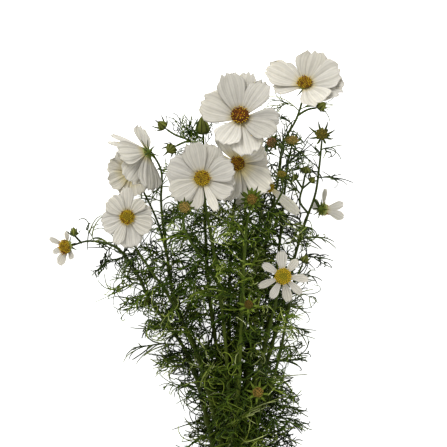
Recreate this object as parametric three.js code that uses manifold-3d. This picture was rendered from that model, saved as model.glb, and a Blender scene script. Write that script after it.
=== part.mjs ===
// A tied bunch of white garden cosmos (Cosmos bipinnatus), cut and lying on a flat surface.
// Millimetres, +Z up. The stems run along +Y from their cut ends to the blooms, and the bunch
// rests on the flat underside of its rubber band and on the lowest petals at its left and right.
// Every cut stem is one solid with the leaves, side shoots, buds and bracts that grew on it.
// A bloom adds two solids to the tip it sits on: its ring of petals and its disc of florets.
import * as THREE from "three";
import { mergeVertices } from "three/addons/utils/BufferGeometryUtils.js";
import Module from "manifold-3d";

const wasm = await Module();
wasm.setup();

// ---------------------------------------------------------------- driving dimensions
const GAP = 0.3; // air between two solids that touch on the real flower
const MERGE = 1e-3; // vertices nearer than this are one
const CUT_END = -85; // how far the stems run on below the band
const STEM_RADIUS = 2.72; // at the cut end
const BUNDLE_STEP = 5; // from one stem to the next inside the band
const NECK_RADIUS = 0.95; // of a stem just under its head
const SHOOT_RADIUS = 1.15; // of a side shoot where it leaves its stem
const STEM_SIDES = 5;
const SHOOT_SIDES = 4;
const RING_STEP = 31; // length of stem between two rings of vertices
const SHOOT_STEP = 15;
const BAND = { middle: 13.8, across: 10.45, up: 12.15, thick: 1.7, wide: 9, sides: 18 };
const SPLAY = [1.5, 1.18]; // the cut ends stand this much further apart, across and up
const HUB = { radius: 6.3, thick: 2.4, sides: 12 }; // white base that the petals grow from
const CLAW_START = 4.2; // the petals' narrow ends are sunk in the hub this far out from its middle
const LAYER = { lift: 0.5, tilt: 3.5 }; // half the height and angle between the two rings of petals
const PETAL_THICK = 0.8;
const DISC_SIDES = 10;
const CUP_TALL = 5.2; // of the green under a head, down to the end of its stem
const SEED_BRACT_RISE = 30;
const THREAD = { half: 0.75, thick: 0.8 }; // a leaf's threads, across and through
const FLOOR_CLEAR = 1.3; // lowest centre line of a leaf
const CELL = 2; // edge of the cubes that leaves claim, so that no two stems cross
const LEAF_REACH = 1.4;
const LEAF_TRIES = 14;

// How far the leaves spread to the left and right: y up the bunch, lowest x, highest x.
const SPREAD = [
  [-20, -52, 52], [30, -56, 60], [78, -44, 86], [100, -43, 91], [112, -76, 60], [140, -93, 66],
  [180, -105, 78], [200, -124, 74], [240, -130, 78], [300, -140, 112], [460, -140, 112],
];

// ---------------------------------------------------------------- the bunch
// Each cut stem: its place in the band [half steps across, rows up from the middle], its route from
// the band to its head [x, y, z], and the seed of its leaves. y is 0 at the band.
const STEMS = {
  stem_far_left: {
    place: [-2, -1],
    route: [
      [-17.5, 30, 12.5], [-27, 68, 16], [-42, 126, 23], [-59, 159, 28], [-83, 191, 33],
      [-97, 220, 37], [-117, 248, 38], [-142, 256.5, 30], [-158, 254, 20], [-166, 251, 13],
    ],
    head: "bloom_far_left",
    seed: 11,
  },
  stem_left: {
    place: [-3, 0],
    route: [
      [-11, 34, 18], [-17, 68, 26], [-39, 143, 42], [-54, 176, 49], [-69, 205, 54],
      [-85, 228, 58], [-97, 246, 60], [-105, 263, 60], [-107, 276, 63],
    ],
    head: "bloom_left",
    seed: 12,
  },
  stem_nodding: {
    place: [-1, 0],
    route: [
      [-6, 32, 16], [-13, 73, 23], [-42, 153, 37], [-56, 182, 42], [-64, 210, 46],
      [-68, 240, 48], [-74, 288, 53], [-74, 320, 60], [-74, 337, 70], [-79, 346, 74.5],
    ],
    head: "bloom_nodding",
    seed: 13,
  },
  stem_spray: {
    place: [0, -1],
    route: [
      [-3, 32, 12], [-8, 78, 18], [-23, 178, 32], [-28, 228, 39], [-30, 273, 46],
      [-31, 325, 54], [-31, 346, 58], [-32, 357, 70],
    ],
    head: "bud_spray_top",
    seed: 14,
  },
  stem_middle: {
    place: [-2, 1],
    route: [
      [-5, 38, 24], [-6, 98, 40], [-10, 158, 57], [-16, 213, 73], [-23, 258, 84],
      [-29, 290, 88], [-32, 310, 91],
    ],
    head: "bloom_middle",
    seed: 15,
  },
  stem_upper: {
    place: [0, 1],
    route: [
      [0, 38, 22], [1, 98, 34], [4, 168, 44], [8, 238, 49], [11, 300, 51],
      [12, 345, 57], [8, 366, 72],
    ],
    head: "bloom_upper",
    seed: 16,
  },
  stem_behind: {
    place: [-1, -2],
    route: [
      [-4, 33, 7], [-5, 98, 13], [-6, 168, 23], [-5, 228, 33], [-2, 283, 43], [2, 313, 51],
      [4, 328, 60],
    ],
    head: "bloom_behind",
    seed: 17,
  },
  stem_low: {
    place: [1, -2],
    route: [[3, 33, 7], [9, 98, 12], [16, 168, 18], [21, 228, 23], [25, 273, 26], [29, 298, 30]],
    head: "bloom_low",
    seed: 18,
  },
  stem_top: {
    place: [1, 0],
    route: [
      [5, 32, 17], [12, 98, 26], [20, 168, 31], [28, 228, 33], [36, 278, 31], [44, 318, 31],
      [46, 343, 38], [50, 358, 46], [57, 369, 52], [63, 383, 57], [65, 398, 63],
    ],
    head: "bloom_top",
    seed: 19,
  },
  stem_seed: {
    place: [3, 0],
    route: [
      [12, 34, 16], [22, 98, 23], [32, 158, 28], [40, 208, 30], [46, 258, 30], [50, 300, 31],
      [53, 330, 42], [55, 346, 54],
    ],
    head: "seed_head_upper",
    seed: 20,
  },
  stem_right: {
    place: [2, -1],
    route: [
      [10, 32, 11], [20, 83, 14], [33, 133, 18], [46, 178, 21], [57, 223, 23], [66, 258, 24],
      [75, 285, 27], [81, 300, 30], [84, 322, 35], [87, 341, 42], [88.3, 352, 47],
    ],
    head: "seed_head_right",
    seed: 21,
  },
  stem_front: {
    place: [1, 2],
    route: [[5, 38, 29], [12, 78, 38], [23, 123, 50], [33, 163, 61], [40, 193, 70], [45, 211, 76]],
    head: "bloom_front",
    seed: 22,
  },
  stem_high: {
    place: [-1, 2],
    route: [[-2, 38, 31], [3, 98, 48], [6, 158, 65], [8, 218, 80], [10, 258, 89], [13, 283, 96]],
    head: "seed_head_high",
    seed: 23,
  },
  stem_outer: {
    place: [2, 1],
    route: [
      [10, 36, 22], [23, 75, 29], [35, 105, 35], [43, 132, 40], [49, 160, 45], [54, 188, 49],
      [60, 216, 53], [66, 230, 55],
    ],
    head: "bud_outer",
    seed: 24,
  },
};

// Side shoots: the stem and the number of the route point that they leave, then their own route.
const SHOOTS = [
  { stem: "stem_far_left", leaves: 8, route: [[-162, 259, 24]], head: "bud_far_left" },
  { stem: "stem_nodding", leaves: 5, route: [[-78, 275, 37], [-92, 305, 27.5], [-100, 321, 26]],
    head: "bloom_hidden" },
  { stem: "stem_far_left", leaves: 4, route: [[-86, 193, 39]], head: "bud_left_edge" },
  { stem: "stem_spray", leaves: 6, route: [[-45, 357, 75], [-57, 361.5, 75], [-66, 367, 74]],
    head: "bud_spray_left" },
  { stem: "stem_spray", leaves: 6, route: [[-42, 356, 82], [-53, 354, 86]], head: "bud_spray_low" },
  { stem: "stem_middle", leaves: 3, route: [[-30, 236, 88], [-45, 258, 104], [-51, 276, 115]],
    head: "seed_head_left" },
  { stem: "stem_low", leaves: 3, route: [[24, 250, 40], [33, 278, 54], [44, 300, 70], [49, 314, 80]],
    head: "seed_head_middle" },
  { stem: "stem_top", leaves: 9, route: [[73, 389, 58], [80, 390.5, 59]], head: "bud_top_right" },
  { stem: "stem_top", leaves: 6, route: [[48, 345, 55], [48, 351, 78]], head: "seed_head_pink" },
  { stem: "stem_right", leaves: 7, route: [[86, 295, 26]], head: "bloom_right" },
  { stem: "stem_right", leaves: 6, route: [[66, 297, 34], [68.5, 310, 39], [71, 321, 43]],
    head: "bud_cluster_top" },
  { stem: "stem_high", leaves: 2, route: [[13, 180, 79]], head: "seed_head_centre" },
  { stem: "stem_outer", leaves: 1, route: [[25, 93, 47]], head: "seed_head_foot" },
];

// Smaller shoots that leave the fork of the cluster.
const TWIGS = [
  { stem: "stem_right", leaves: "bud_cluster_top", from: [68.5, 310, 39], route: [[65, 317, 41]],
    head: "bud_cluster_left" },
  { stem: "stem_right", leaves: "bud_cluster_top", from: [68.5, 310, 39], route: [[74, 314, 42]],
    head: "bud_cluster_right" },
];

// Open blooms: the point that the petals spread from, the way the bloom faces, petal length and
// half width, the angle that petals rise at and by how much it changes to the tip, the disc's
// radius, and the bearing of each petal, anticlockwise from the right as the bloom is looked at.
// An uneven bloom has shares of the length and width, and angles of rise, for each petal.
const BLOOMS = {
  bloom_top: {
    at: [70, 413, 71], faces: [-0.12, 0.6, 0.79], length: 43, half: 14.5, rise: 20, bend: -8, disc: 7.6,
    bearings: [198, 165, 134, 80, 47, 14, -20, -62],
    lengths: [0.8, 1, 0.84, 0.9, 0.84, 0.92, 1, 0.96],
    widths: [0.55, 1.05, 1, 1.1, 1.2, 1.2, 1.15, 1.05],
  },
  bloom_upper: {
    at: [5, 379, 92], faces: [-0.03, 0.43, 0.9], length: 45, half: 14, rise: 26, bend: -8, disc: 9.2,
    bearings: [160, 110, 80, 53, -14, -38, -74, -116],
    lengths: [0.96, 1.04, 1.08, 1, 0.92, 0.98, 0.97, 0.85],
    widths: [1.25, 0.98, 0.8, 0.85, 0.95, 0.85, 1.1, 0.95],
    rises: [24, 26, 28, 26, 20, 16, 12, 14],
  },
  bloom_middle: {
    at: [-32.7, 318.5, 98], faces: [0.03, 0.2, 0.98], length: 37.5, half: 13.5, rise: 15, bend: -6,
    disc: 8,
    bearings: [163, 108, 70, 22, -29, -67, -103, -148],
    lengths: [0.98, 1, 0.99, 0.93, 0.91, 1.06, 0.9, 1],
    widths: [1.15, 0.88, 1, 0.95, 1.05, 0.34, 0.62, 0.92],
  },
  bloom_left: {
    at: [-107.5, 281, 70], faces: [-0.08, -0.03, 1], length: 30, half: 9.5, rise: 7, bend: -5, disc: 7.4,
    bearings: [91, 137, 197, 246, 280, 334, 377, 408],
    lengths: [1.02, 0.88, 0.92, 1.02, 1.06, 0.92, 0.86, 0.8],
    widths: [0.72, 1.1, 1.15, 0.6, 1.2, 1.1, 0.8, 0.7],
  },
  bloom_nodding: {
    at: [-88, 345, 69], faces: [-0.72, -0.48, -0.5], length: 41, half: 12, rise: 30, bend: 0, disc: 3.9,
    bearings: [8, 62, 76, 90, 112, 266, 290, 318],
    lengths: [0.9, 1.07, 1.12, 1.02, 0.88, 0.92, 1.04, 0.98],
    widths: [1.1, 0.45, 0.45, 0.5, 0.95, 0.9, 1.1, 1.15],
    rises: [20, 41, 42, 53, 8, 8, 15, 25],
  },
  bloom_hidden: {
    at: [-104, 327, 35.5], faces: [-0.25, -0.1, 0.96], length: 27, half: 10, rise: 20, bend: -4, disc: 6,
    bearings: [20, 110, 160, 205, 250, 295, 338],
  },
  bloom_behind: {
    at: [3.5, 334, 69], faces: [-0.28, 0.12, 0.95], length: 42, half: 13.5, rise: 12, bend: -6, disc: 7.6,
    bearings: [112, 40, 2, -34, -70, -106, -142, -178],
    lengths: [1, 0.8, 0.76, 1.1, 0.9, 1, 1, 1],
  },
  bloom_low: {
    at: [33, 313, 40], faces: [-0.08, -0.15, 0.98], length: 44, half: 5.6, rise: 8, bend: 0, disc: 7,
    bearings: [-40, 130, 172, 214],
    widths: [1, 1.2, 1.3, 1.2],
  },
  bloom_front: {
    at: [47.5, 222, 84], faces: [0.05, 0.05, 1], length: 27, half: 5.2, rise: -4, bend: -12, disc: 8.4,
    bearings: [92, 48, -4, -43, -77, -120, -156, -213],
    lengths: [1, 0.86, 1.02, 0.98, 1, 0.95, 1.02, 0.9],
    widths: [1.05, 0.8, 0.75, 0.72, 0.9, 0.78, 0.68, 0.78],
  },
  bloom_far_left: {
    at: [-172, 251, 12], faces: [-0.64, -0.1, 0.76], length: 22, half: 3, rise: 14, bend: 0, disc: 7.8,
    bearings: [84, 156, 198, 246, 300],
    lengths: [0.75, 1, 0.95, 0.98, 0.7],
    widths: [1.1, 1, 1, 1.9, 1.3],
  },
  bloom_right: {
    at: [90, 289, 21.9], faces: [0.72, -0.15, -0.62], length: 25, half: 5.6, rise: 24, bend: -8, disc: 6,
    bearings: [95, 164, 20, 197],
    lengths: [0.88, 0.98, 1, 1.06],
    widths: [0.6, 0.78, 1, 0.82],
    rises: [0, 24, 24, 24],
  },
};

// Heads whose petals have dropped: the disc of ripening seed stands in a star of bracts.
const SEED_HEADS = {
  seed_head_upper: { at: [57, 357, 65], faces: [0, 0.75, 0.66], disc: 6.6, dome: 2.6, star: 11 },
  seed_head_right: { at: [87.7, 364, 51], faces: [-0.1, 0.45, 0.88], disc: 6, dome: 4.5, star: 14 },
  seed_head_high: { at: [16.5, 298, 103], faces: [0, 0.3, 0.95], disc: 5.4, dome: 5, star: 13 },
  seed_head_left: { at: [-49.5, 290, 120], faces: [0, 0.25, 0.97], disc: 5.4, dome: 4.5, star: 9 },
  seed_head_middle: { at: [46, 323, 88], faces: [0, 0.75, 0.66], disc: 4.4, dome: 4, star: 11 },
  seed_head_pink: { at: [37, 354, 93], faces: [-0.45, 0.3, 0.84], disc: 5, dome: 8, star: 7 },
  seed_head_centre: { at: [13.5, 194, 88], faces: [0, 0.35, 0.94], disc: 4, dome: 4.5, star: 7 },
  seed_head_foot: { at: [23, 105, 63], faces: [0, 0.3, 0.95], disc: 5, dome: 4, star: 8 },
};

// Closed green buds: radius, height and how far the outer bracts stand.
const BUDS = {
  bud_spray_top: { at: [-32, 364, 78], faces: [-0.05, 0.95, 0.3], radius: 7, tall: 18, star: 10 },
  bud_spray_left: { at: [-70.5, 370, 73], faces: [-0.6, 0.6, 0.5], radius: 5, tall: 10, star: 11 },
  bud_spray_low: { at: [-62, 350, 87], faces: [-0.5, -0.5, 0.7], radius: 5.4, tall: 9, star: 11 },
  bud_far_left: { at: [-164, 262, 25], faces: [-0.05, 1, 0.2], radius: 3.8, tall: 9, star: 9 },
  bud_left_edge: { at: [-88, 194.5, 43], faces: [-0.6, 0.4, 0.7], radius: 3.6, tall: 7, star: 6 },
  bud_top_right: { at: [84, 390.5, 60], faces: [0.7, 0.5, 0.5], radius: 4.8, tall: 10, star: 8 },
  bud_cluster_top: { at: [71.5, 326, 45], faces: [0.05, 0.9, 0.42], radius: 4.8, tall: 7, star: 8 },
  bud_cluster_left: { at: [62, 320, 43], faces: [-0.6, 0.6, 0.5], radius: 3.6, tall: 6, star: 6 },
  bud_cluster_right: { at: [77, 317, 43], faces: [0.5, 0.7, 0.5], radius: 3.4, tall: 6, star: 6 },
  bud_outer: { at: [69, 236, 56], faces: [0.4, 0.8, 0.45], radius: 4, tall: 8, star: 8 },
};

const COLOURS = {
  stem: { color: 0x47621f, roughness: 0.55 },
  petal: { color: 0xf1efe6, roughness: 0.6 },
  disc: { color: 0xc99a14, roughness: 0.8 },
  seed: { color: 0x9a6a36, roughness: 0.8 },
  band: { color: 0xb88a52, roughness: 0.6 },
};

// ---------------------------------------------------------------- small helpers
const vec = (a) => new THREE.Vector3(a[0], a[1], a[2]);
const radians = THREE.MathUtils.degToRad;
const across = new THREE.Vector3(1, 0, 0);
const along = new THREE.Vector3(0, 1, 0);
const upward = new THREE.Vector3(0, 0, 1);

// The same draws every time, from 0 to 1.
function draws(seed) {
  let state = seed >>> 0;
  return () => {
    state = (state + 0x6d2b79f5) >>> 0;
    let t = state;
    t = Math.imul(t ^ (t >>> 15), t | 1) >>> 0;
    t = (t ^ (t + Math.imul(t ^ (t >>> 7), t | 61))) >>> 0;
    return ((t ^ (t >>> 14)) >>> 0) / 4294967296;
  };
}

function solidOf(geometry) {
  const bare = geometry.clone();
  Object.keys(bare.attributes).forEach((name) => name !== "position" && bare.deleteAttribute(name));
  const merged = mergeVertices(bare, MERGE);
  return new wasm.Manifold(
    new wasm.Mesh({
      numProp: 3,
      vertProperties: merged.attributes.position.array,
      triVerts: new Uint32Array(merged.index.array),
    }),
  );
}

function geometryOf(solid) {
  const mesh = solid.getMesh();
  return new THREE.BufferGeometry()
    .setAttribute("position", new THREE.BufferAttribute(mesh.vertProperties, 3))
    .setIndex(new THREE.BufferAttribute(mesh.triVerts, 1));
}

const join = (geometries) => geometries.map(solidOf).reduce((a, b) => a.add(b));

// Points at even distances on the smooth curve through some others.
function evenPoints(points, step) {
  const curve = new THREE.CatmullRomCurve3(points, false, "catmullrom", 0.5);
  const fine = curve.getPoints((points.length - 1) * 12);
  const reach = [0];
  fine.slice(1).forEach((p, i) => reach.push(reach[i] + p.distanceTo(fine[i])));
  const total = reach[reach.length - 1];
  const count = Math.max(1, Math.round(total / step));
  const even = [];
  for (let k = 0, i = 0; k <= count; k++) {
    const want = (total * k) / count;
    while (i < fine.length - 2 && reach[i + 1] < want) i++;
    const share = (want - reach[i]) / (reach[i + 1] - reach[i]);
    even.push(fine[i].clone().lerp(fine[i + 1], share));
  }
  return even;
}

// A tapered bar: a cylinder whose rings are carried to the points of a route.
function bar(points, rootRadius, tipRadius, sides) {
  const steps = points.length - 1;
  const geometry = new THREE.CylinderGeometry(tipRadius, rootRadius, 1, sides, steps);
  const frames = [];
  let side = null;
  points.forEach((p, k) => {
    const tangent = points[Math.min(k + 1, steps)].clone().sub(points[Math.max(k - 1, 0)]).normalize();
    side ??= Math.abs(tangent.z) < 0.9 ? upward.clone() : across.clone();
    side = side.clone().addScaledVector(tangent, -side.dot(tangent)).normalize();
    frames.push({ side, other: side.clone().cross(tangent) });
  });
  const position = geometry.attributes.position;
  for (let i = 0; i < position.count; i++) {
    const k = Math.round((position.getY(i) + 0.5) * steps);
    const at = points[k]
      .clone()
      .addScaledVector(frames[k].side, position.getX(i))
      .addScaledVector(frames[k].other, position.getZ(i));
    position.setXYZ(i, at.x, at.y, at.z);
  }
  return geometry;
}

// The place of a head: its third axis is the way it faces, its second leans towards +Y.
function headMatrix({ at, faces }) {
  const out = vec(faces).normalize();
  const right = along.clone().cross(out).normalize();
  const top = out.clone().cross(right);
  return new THREE.Matrix4().makeBasis(right, top, out).setPosition(vec(at));
}

// ---------------------------------------------------------------- petals
const PETAL_OUTLINE = [0.22, 0.46, 0.7, 0.9, 1, 0.98, 0.72]; // half widths from claw to tip

function outlineAt(v) {
  const place = v * (PETAL_OUTLINE.length - 1);
  const i = Math.min(Math.floor(place), PETAL_OUTLINE.length - 2);
  return THREE.MathUtils.lerp(PETAL_OUTLINE[i], PETAL_OUTLINE[i + 1], place - i);
}

// A point of a petal, in its bloom's own frame: u from -1 to 1 across, v from 0 to 1 outward.
function petalPoint(petal, u, v) {
  const tooth = 0.07 * Math.abs(u) ** 2.5 + 0.05 * (1 - Math.cos(2 * Math.PI * 1.5 * u)) * 0.5;
  const run = v * petal.length * (1 - tooth * v ** 3);
  const rise = radians(petal.rise + petal.bend * v);
  const middle = radians(petal.rise + (petal.bend * v) / 2);
  const half = petal.half * outlineAt(v);
  const pleat = 0.05 * petal.half * Math.cos(3 * Math.PI * u) * Math.sin(Math.PI * Math.min(v, 0.95));
  const trough = 0.12 * half * (u * u - 0.3);
  const lift = pleat + trough;
  const x = CLAW_START + run * Math.cos(middle) - lift * Math.sin(rise);
  const z = petal.lift + run * Math.sin(middle) + lift * Math.cos(rise);
  const bearing = radians(petal.bearing);
  const y = half * u;
  return new THREE.Vector3(
    x * Math.cos(bearing) - y * Math.sin(bearing),
    x * Math.sin(bearing) + y * Math.cos(bearing),
    z,
  );
}

// A closed blade from a formula: two layers split alike, and a wall round their edge.
function blade(columns, rows, pointAt, thick) {
  const points = [];
  const index = [];
  const STEP = 1e-3;
  for (const layer of [0.5, -0.5])
    for (let j = 0; j <= rows; j++)
      for (let i = 0; i <= columns; i++) {
        const [u, v] = [(2 * i) / columns - 1, j / rows];
        const here = pointAt(u, v);
        const du = pointAt(u + STEP, v).sub(here);
        const dv = pointAt(u, v + STEP).sub(here);
        here.addScaledVector(du.cross(dv).normalize(), layer * thick);
        points.push(here.x, here.y, here.z);
      }
  const wide = columns + 1;
  const below = wide * (rows + 1);
  for (let j = 0; j < rows; j++)
    for (let i = 0; i < columns; i++) {
      const [a, b] = [j * wide + i, (j + 1) * wide + i];
      index.push(a, a + 1, b + 1, a, b + 1, b);
      index.push(below + a, below + b + 1, below + a + 1, below + a, below + b, below + b + 1);
    }
  const edge = [];
  for (let i = 0; i < columns; i++) edge.push(i);
  for (let j = 0; j < rows; j++) edge.push(j * wide + columns);
  for (let i = columns; i > 0; i--) edge.push(rows * wide + i);
  for (let j = rows; j > 0; j--) edge.push(j * wide);
  edge.forEach((a, k) => {
    const b = edge[(k + 1) % edge.length];
    index.push(a, below + a, b, b, below + a, below + b);
  });
  return new THREE.BufferGeometry()
    .setAttribute("position", new THREE.Float32BufferAttribute(points, 3))
    .setIndex(index);
}

// Every second petal starts higher and rises more, so that neighbours overlap and don't cross.
function petalsOf(bloom) {
  return bloom.bearings.map((bearing, k) => ({
    bearing,
    length: bloom.length * (bloom.lengths?.[k] ?? 1) - CLAW_START,
    half: bloom.half * (bloom.widths?.[k] ?? 1),
    lift: k % 2 ? LAYER.lift : -LAYER.lift,
    rise: (bloom.rises?.[k] ?? bloom.rise) + (k % 2 ? LAYER.tilt : -LAYER.tilt),
    bend: bloom.bend,
  }));
}

const PETAL_COLUMNS = 2;
const SHORT_PETAL = 30; // shorter petals are split into fewer rows

function petalRing(bloom) {
  const hub = new THREE.CylinderGeometry(HUB.radius, HUB.radius, HUB.thick, HUB.sides);
  hub.rotateX(Math.PI / 2);
  const rows = bloom.length < SHORT_PETAL ? 2 : 3;
  const blades = petalsOf(bloom).map((petal) =>
    blade(PETAL_COLUMNS, rows, (u, v) => petalPoint(petal, u, v), PETAL_THICK),
  );
  return geometryOf(join([hub, ...blades]));
}

// ---------------------------------------------------------------- discs, cups and bracts
// A dome whose florets stand out as raised and sunk points in turn. Its foot widens over the
// petals that rise past it.
function floretDome(radius, tall, petalRise = 0) {
  const foot = Math.min(4.4, radius * 0.85);
  const rim = (radius - foot) * Math.tan(radians(petalRise + LAYER.tilt + 5));
  const dome = [[1, 0.15], [0.88, 0.6], [0.52, 0.92]].map(([r, h]) => [r * radius, rim + h * tall]);
  const profile = [[0, 0], [foot, 0], ...dome, [0, rim + tall]];
  const lathe = new THREE.LatheGeometry(
    profile.map(([r, h]) => new THREE.Vector2(r, h)),
    DISC_SIDES,
  );
  const position = lathe.attributes.position;
  for (let i = 0; i < position.count; i++) {
    const [side, ring] = [Math.floor(i / profile.length) % DISC_SIDES, i % profile.length];
    const raised = ring > 2 && ring < profile.length - 1 ? ((side + ring) % 2 ? 1.06 : 0.94) : 1;
    position.setXYZ(i, position.getX(i) * raised, position.getY(i), position.getZ(i) * raised);
  }
  return lathe.rotateX(Math.PI / 2).translate(0, 0, HUB.thick / 2 + GAP);
}

// The green under a head: a cone on the stem's end whose rim is drawn out into pointed bracts.
// Above the rim it closes over the rings of the given profile [radius, height], the last on the axis.
function bractCup(count, foot, rim, tip, above) {
  const profile = [[0, foot], rim, ...above];
  const lathe = new THREE.LatheGeometry(
    profile.map(([r, h]) => new THREE.Vector2(r, h)),
    2 * count,
  );
  const position = lathe.attributes.position;
  for (let i = 1; i < position.count; i += profile.length) {
    if (((i - 1) / profile.length) % 2 === 0) {
      const grow = tip[0] / rim[0];
      position.setXYZ(i, position.getX(i) * grow, tip[1], position.getZ(i) * grow);
    }
  }
  return lathe.rotateX(Math.PI / 2);
}

const cupTop = -HUB.thick / 2 - GAP;

// The bracts of a bloom lie lower than its lowest petals.
function bloomGreen(bloom) {
  const lowest = Math.min(...(bloom.rises ?? [bloom.rise + Math.min(bloom.bend, 0)]));
  const fall = radians(lowest - 18);
  const reach = 5 + 0.17 * bloom.length;
  const tip = [3.4 + reach * Math.cos(fall), cupTop - 0.4 + reach * Math.sin(fall)];
  return bractCup(8, cupTop - CUP_TALL, [3.8, cupTop - 1.6], tip, [[0, cupTop]]);
}

function seedGreen(head) {
  const rise = radians(SEED_BRACT_RISE);
  const tip = [4 + head.star * Math.cos(rise), cupTop + head.star * Math.sin(rise)];
  return bractCup(7, cupTop - CUP_TALL, [4.6, cupTop - 0.6], tip, [[4, cupTop], [0, cupTop]]);
}

function budGreen(bud) {
  const tip = [bud.radius * 0.7 + bud.star * 0.55, bud.star * 0.72];
  const body = [[bud.radius * 0.8, bud.tall * 0.55], [0, bud.tall]];
  return bractCup(5, 0, [bud.radius, bud.tall * 0.2], tip, body);
}

// ---------------------------------------------------------------- stems and leaves
const HEADS = { ...BLOOMS, ...SEED_HEADS, ...BUDS };
const neckOf = (name) => {
  const head = HEADS[name];
  const back = name in BUDS ? -1 : CUP_TALL;
  return vec(head.at).addScaledVector(vec(head.faces).normalize(), -back);
};

function stemRoute({ place, route, head }) {
  const x = (place[0] * BUNDLE_STEP) / 2;
  const z = place[1] * BUNDLE_STEP * Math.sin(Math.PI / 3);
  const foot = new THREE.Vector3(x * SPLAY[0], CUT_END, BAND.middle + z * SPLAY[1]);
  const atBand = new THREE.Vector3(x, 0, BAND.middle + z);
  return [foot, atBand, ...route.map(vec), neckOf(head)];
}

// The centre lines that bars follow, and points every so often along one.
const stemLine = (stem) => evenPoints(stemRoute(stem), RING_STEP);
const shootLine = (shoot) => {
  const start = nearest(stemLine(STEMS[shoot.stem]), vec(STEMS[shoot.stem].route[shoot.leaves]));
  return evenPoints([start, ...shoot.route.map(vec), neckOf(shoot.head)], SHOOT_STEP);
};
const twigLine = (twig) => {
  const start = nearest(shootLine(SHOOTS.find((shoot) => shoot.head === twig.leaves)), vec(twig.from));
  return evenPoints([start, ...twig.route.map(vec), neckOf(twig.head)], SHOOT_STEP);
};

const nearest = (line, p) =>
  walk(line, 0.5).reduce((best, q) => (q.distanceTo(p) < best.distanceTo(p) ? q : best));

function walk(line, step) {
  return line.slice(1).flatMap((end, k) => {
    const count = Math.ceil(end.distanceTo(line[k]) / step);
    return Array.from({ length: count }, (_, i) => line[k].clone().lerp(end, i / count));
  });
}

// Cubes of space that something already fills, and whose they are.
const taken = new Map();
const cellRange = (value, reach) => [value - reach, value + reach].map((end) => Math.floor(end / CELL));

function cellsNear(points, reach) {
  const cells = new Set();
  for (const p of points) {
    const [[x0, x1], [y0, y1], [z0, z1]] = [p.x, p.y, p.z].map((value) => cellRange(value, reach));
    for (let x = x0; x <= x1; x++)
      for (let y = y0; y <= y1; y++)
        for (let z = z0; z <= z1; z++) cells.add(((x + 512) * 1024 + y + 512) * 1024 + z + 512);
  }
  return cells;
}

function claim(points, reach, owner) {
  for (const cell of cellsNear(points, reach)) if (!taken.has(cell)) taken.set(cell, owner);
}

const isFree = (cells, owner) => [...cells].every((cell) => (taken.get(cell) ?? owner) === owner);

const LEAF_STATIONS = [0.3, 0.44, 0.58, 0.72, 0.86]; // where the pairs of leaflets leave the midrib

// A leaf cut to threads: a drooping midrib and pairs of curved leaflets, each a list of points.
function leafThreads(root, tangent, bearing, size, draw) {
  const side = tangent.clone().cross(upward).normalize();
  const top = side.clone().cross(tangent);
  const turn = bearing + (draw() - 0.5) * 0.9;
  const out = side.multiplyScalar(Math.cos(turn)).addScaledVector(top, Math.sin(turn));
  const lean = radians(34 + 34 * draw());
  const start = tangent.clone().multiplyScalar(Math.cos(lean)).addScaledVector(out, Math.sin(lean));
  const flank = tangent.clone().cross(out).normalize();
  const tilt = (draw() - 0.5) * 1.6;
  flank.multiplyScalar(Math.cos(tilt)).addScaledVector(out.clone().cross(flank), Math.sin(tilt));
  const length = size * (0.8 + 0.4 * draw());
  const droop = along.clone().multiplyScalar(-0.25 - 0.45 * draw());
  droop.addScaledVector(flank, (draw() - 0.5) * 0.7);
  const lifted = (p) => p.setZ(Math.max(p.z, FLOOR_CLEAR));
  const onRib = (t) =>
    lifted(root.clone().addScaledVector(start, length * t).addScaledVector(droop, length * t * t));
  const leaflets = LEAF_STATIONS.flatMap((t, k) => {
    const ahead = onRib(t + 0.05).sub(onRib(t - 0.05)).normalize();
    const reach = length * (0.46 - 0.3 * Math.abs(t - 0.4) - 0.05 * k);
    return [1, -1].map((hand) => {
      const way = ahead.clone().multiplyScalar(0.66).addScaledVector(flank, 0.75 * hand).normalize();
      const onLeaflet = (s) =>
        lifted(
          onRib(t)
            .addScaledVector(way, reach * s)
            .addScaledVector(ahead, 0.3 * reach * s * s)
            .addScaledVector(droop, 0.35 * reach * s * s),
        );
      return { t, hand, onLeaflet };
    });
  });
  return { onRib, flank, length, leaflets };
}

const BLADE_STATIONS = LEAF_STATIONS.filter((_, k) => k % 3 === 0);

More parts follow.
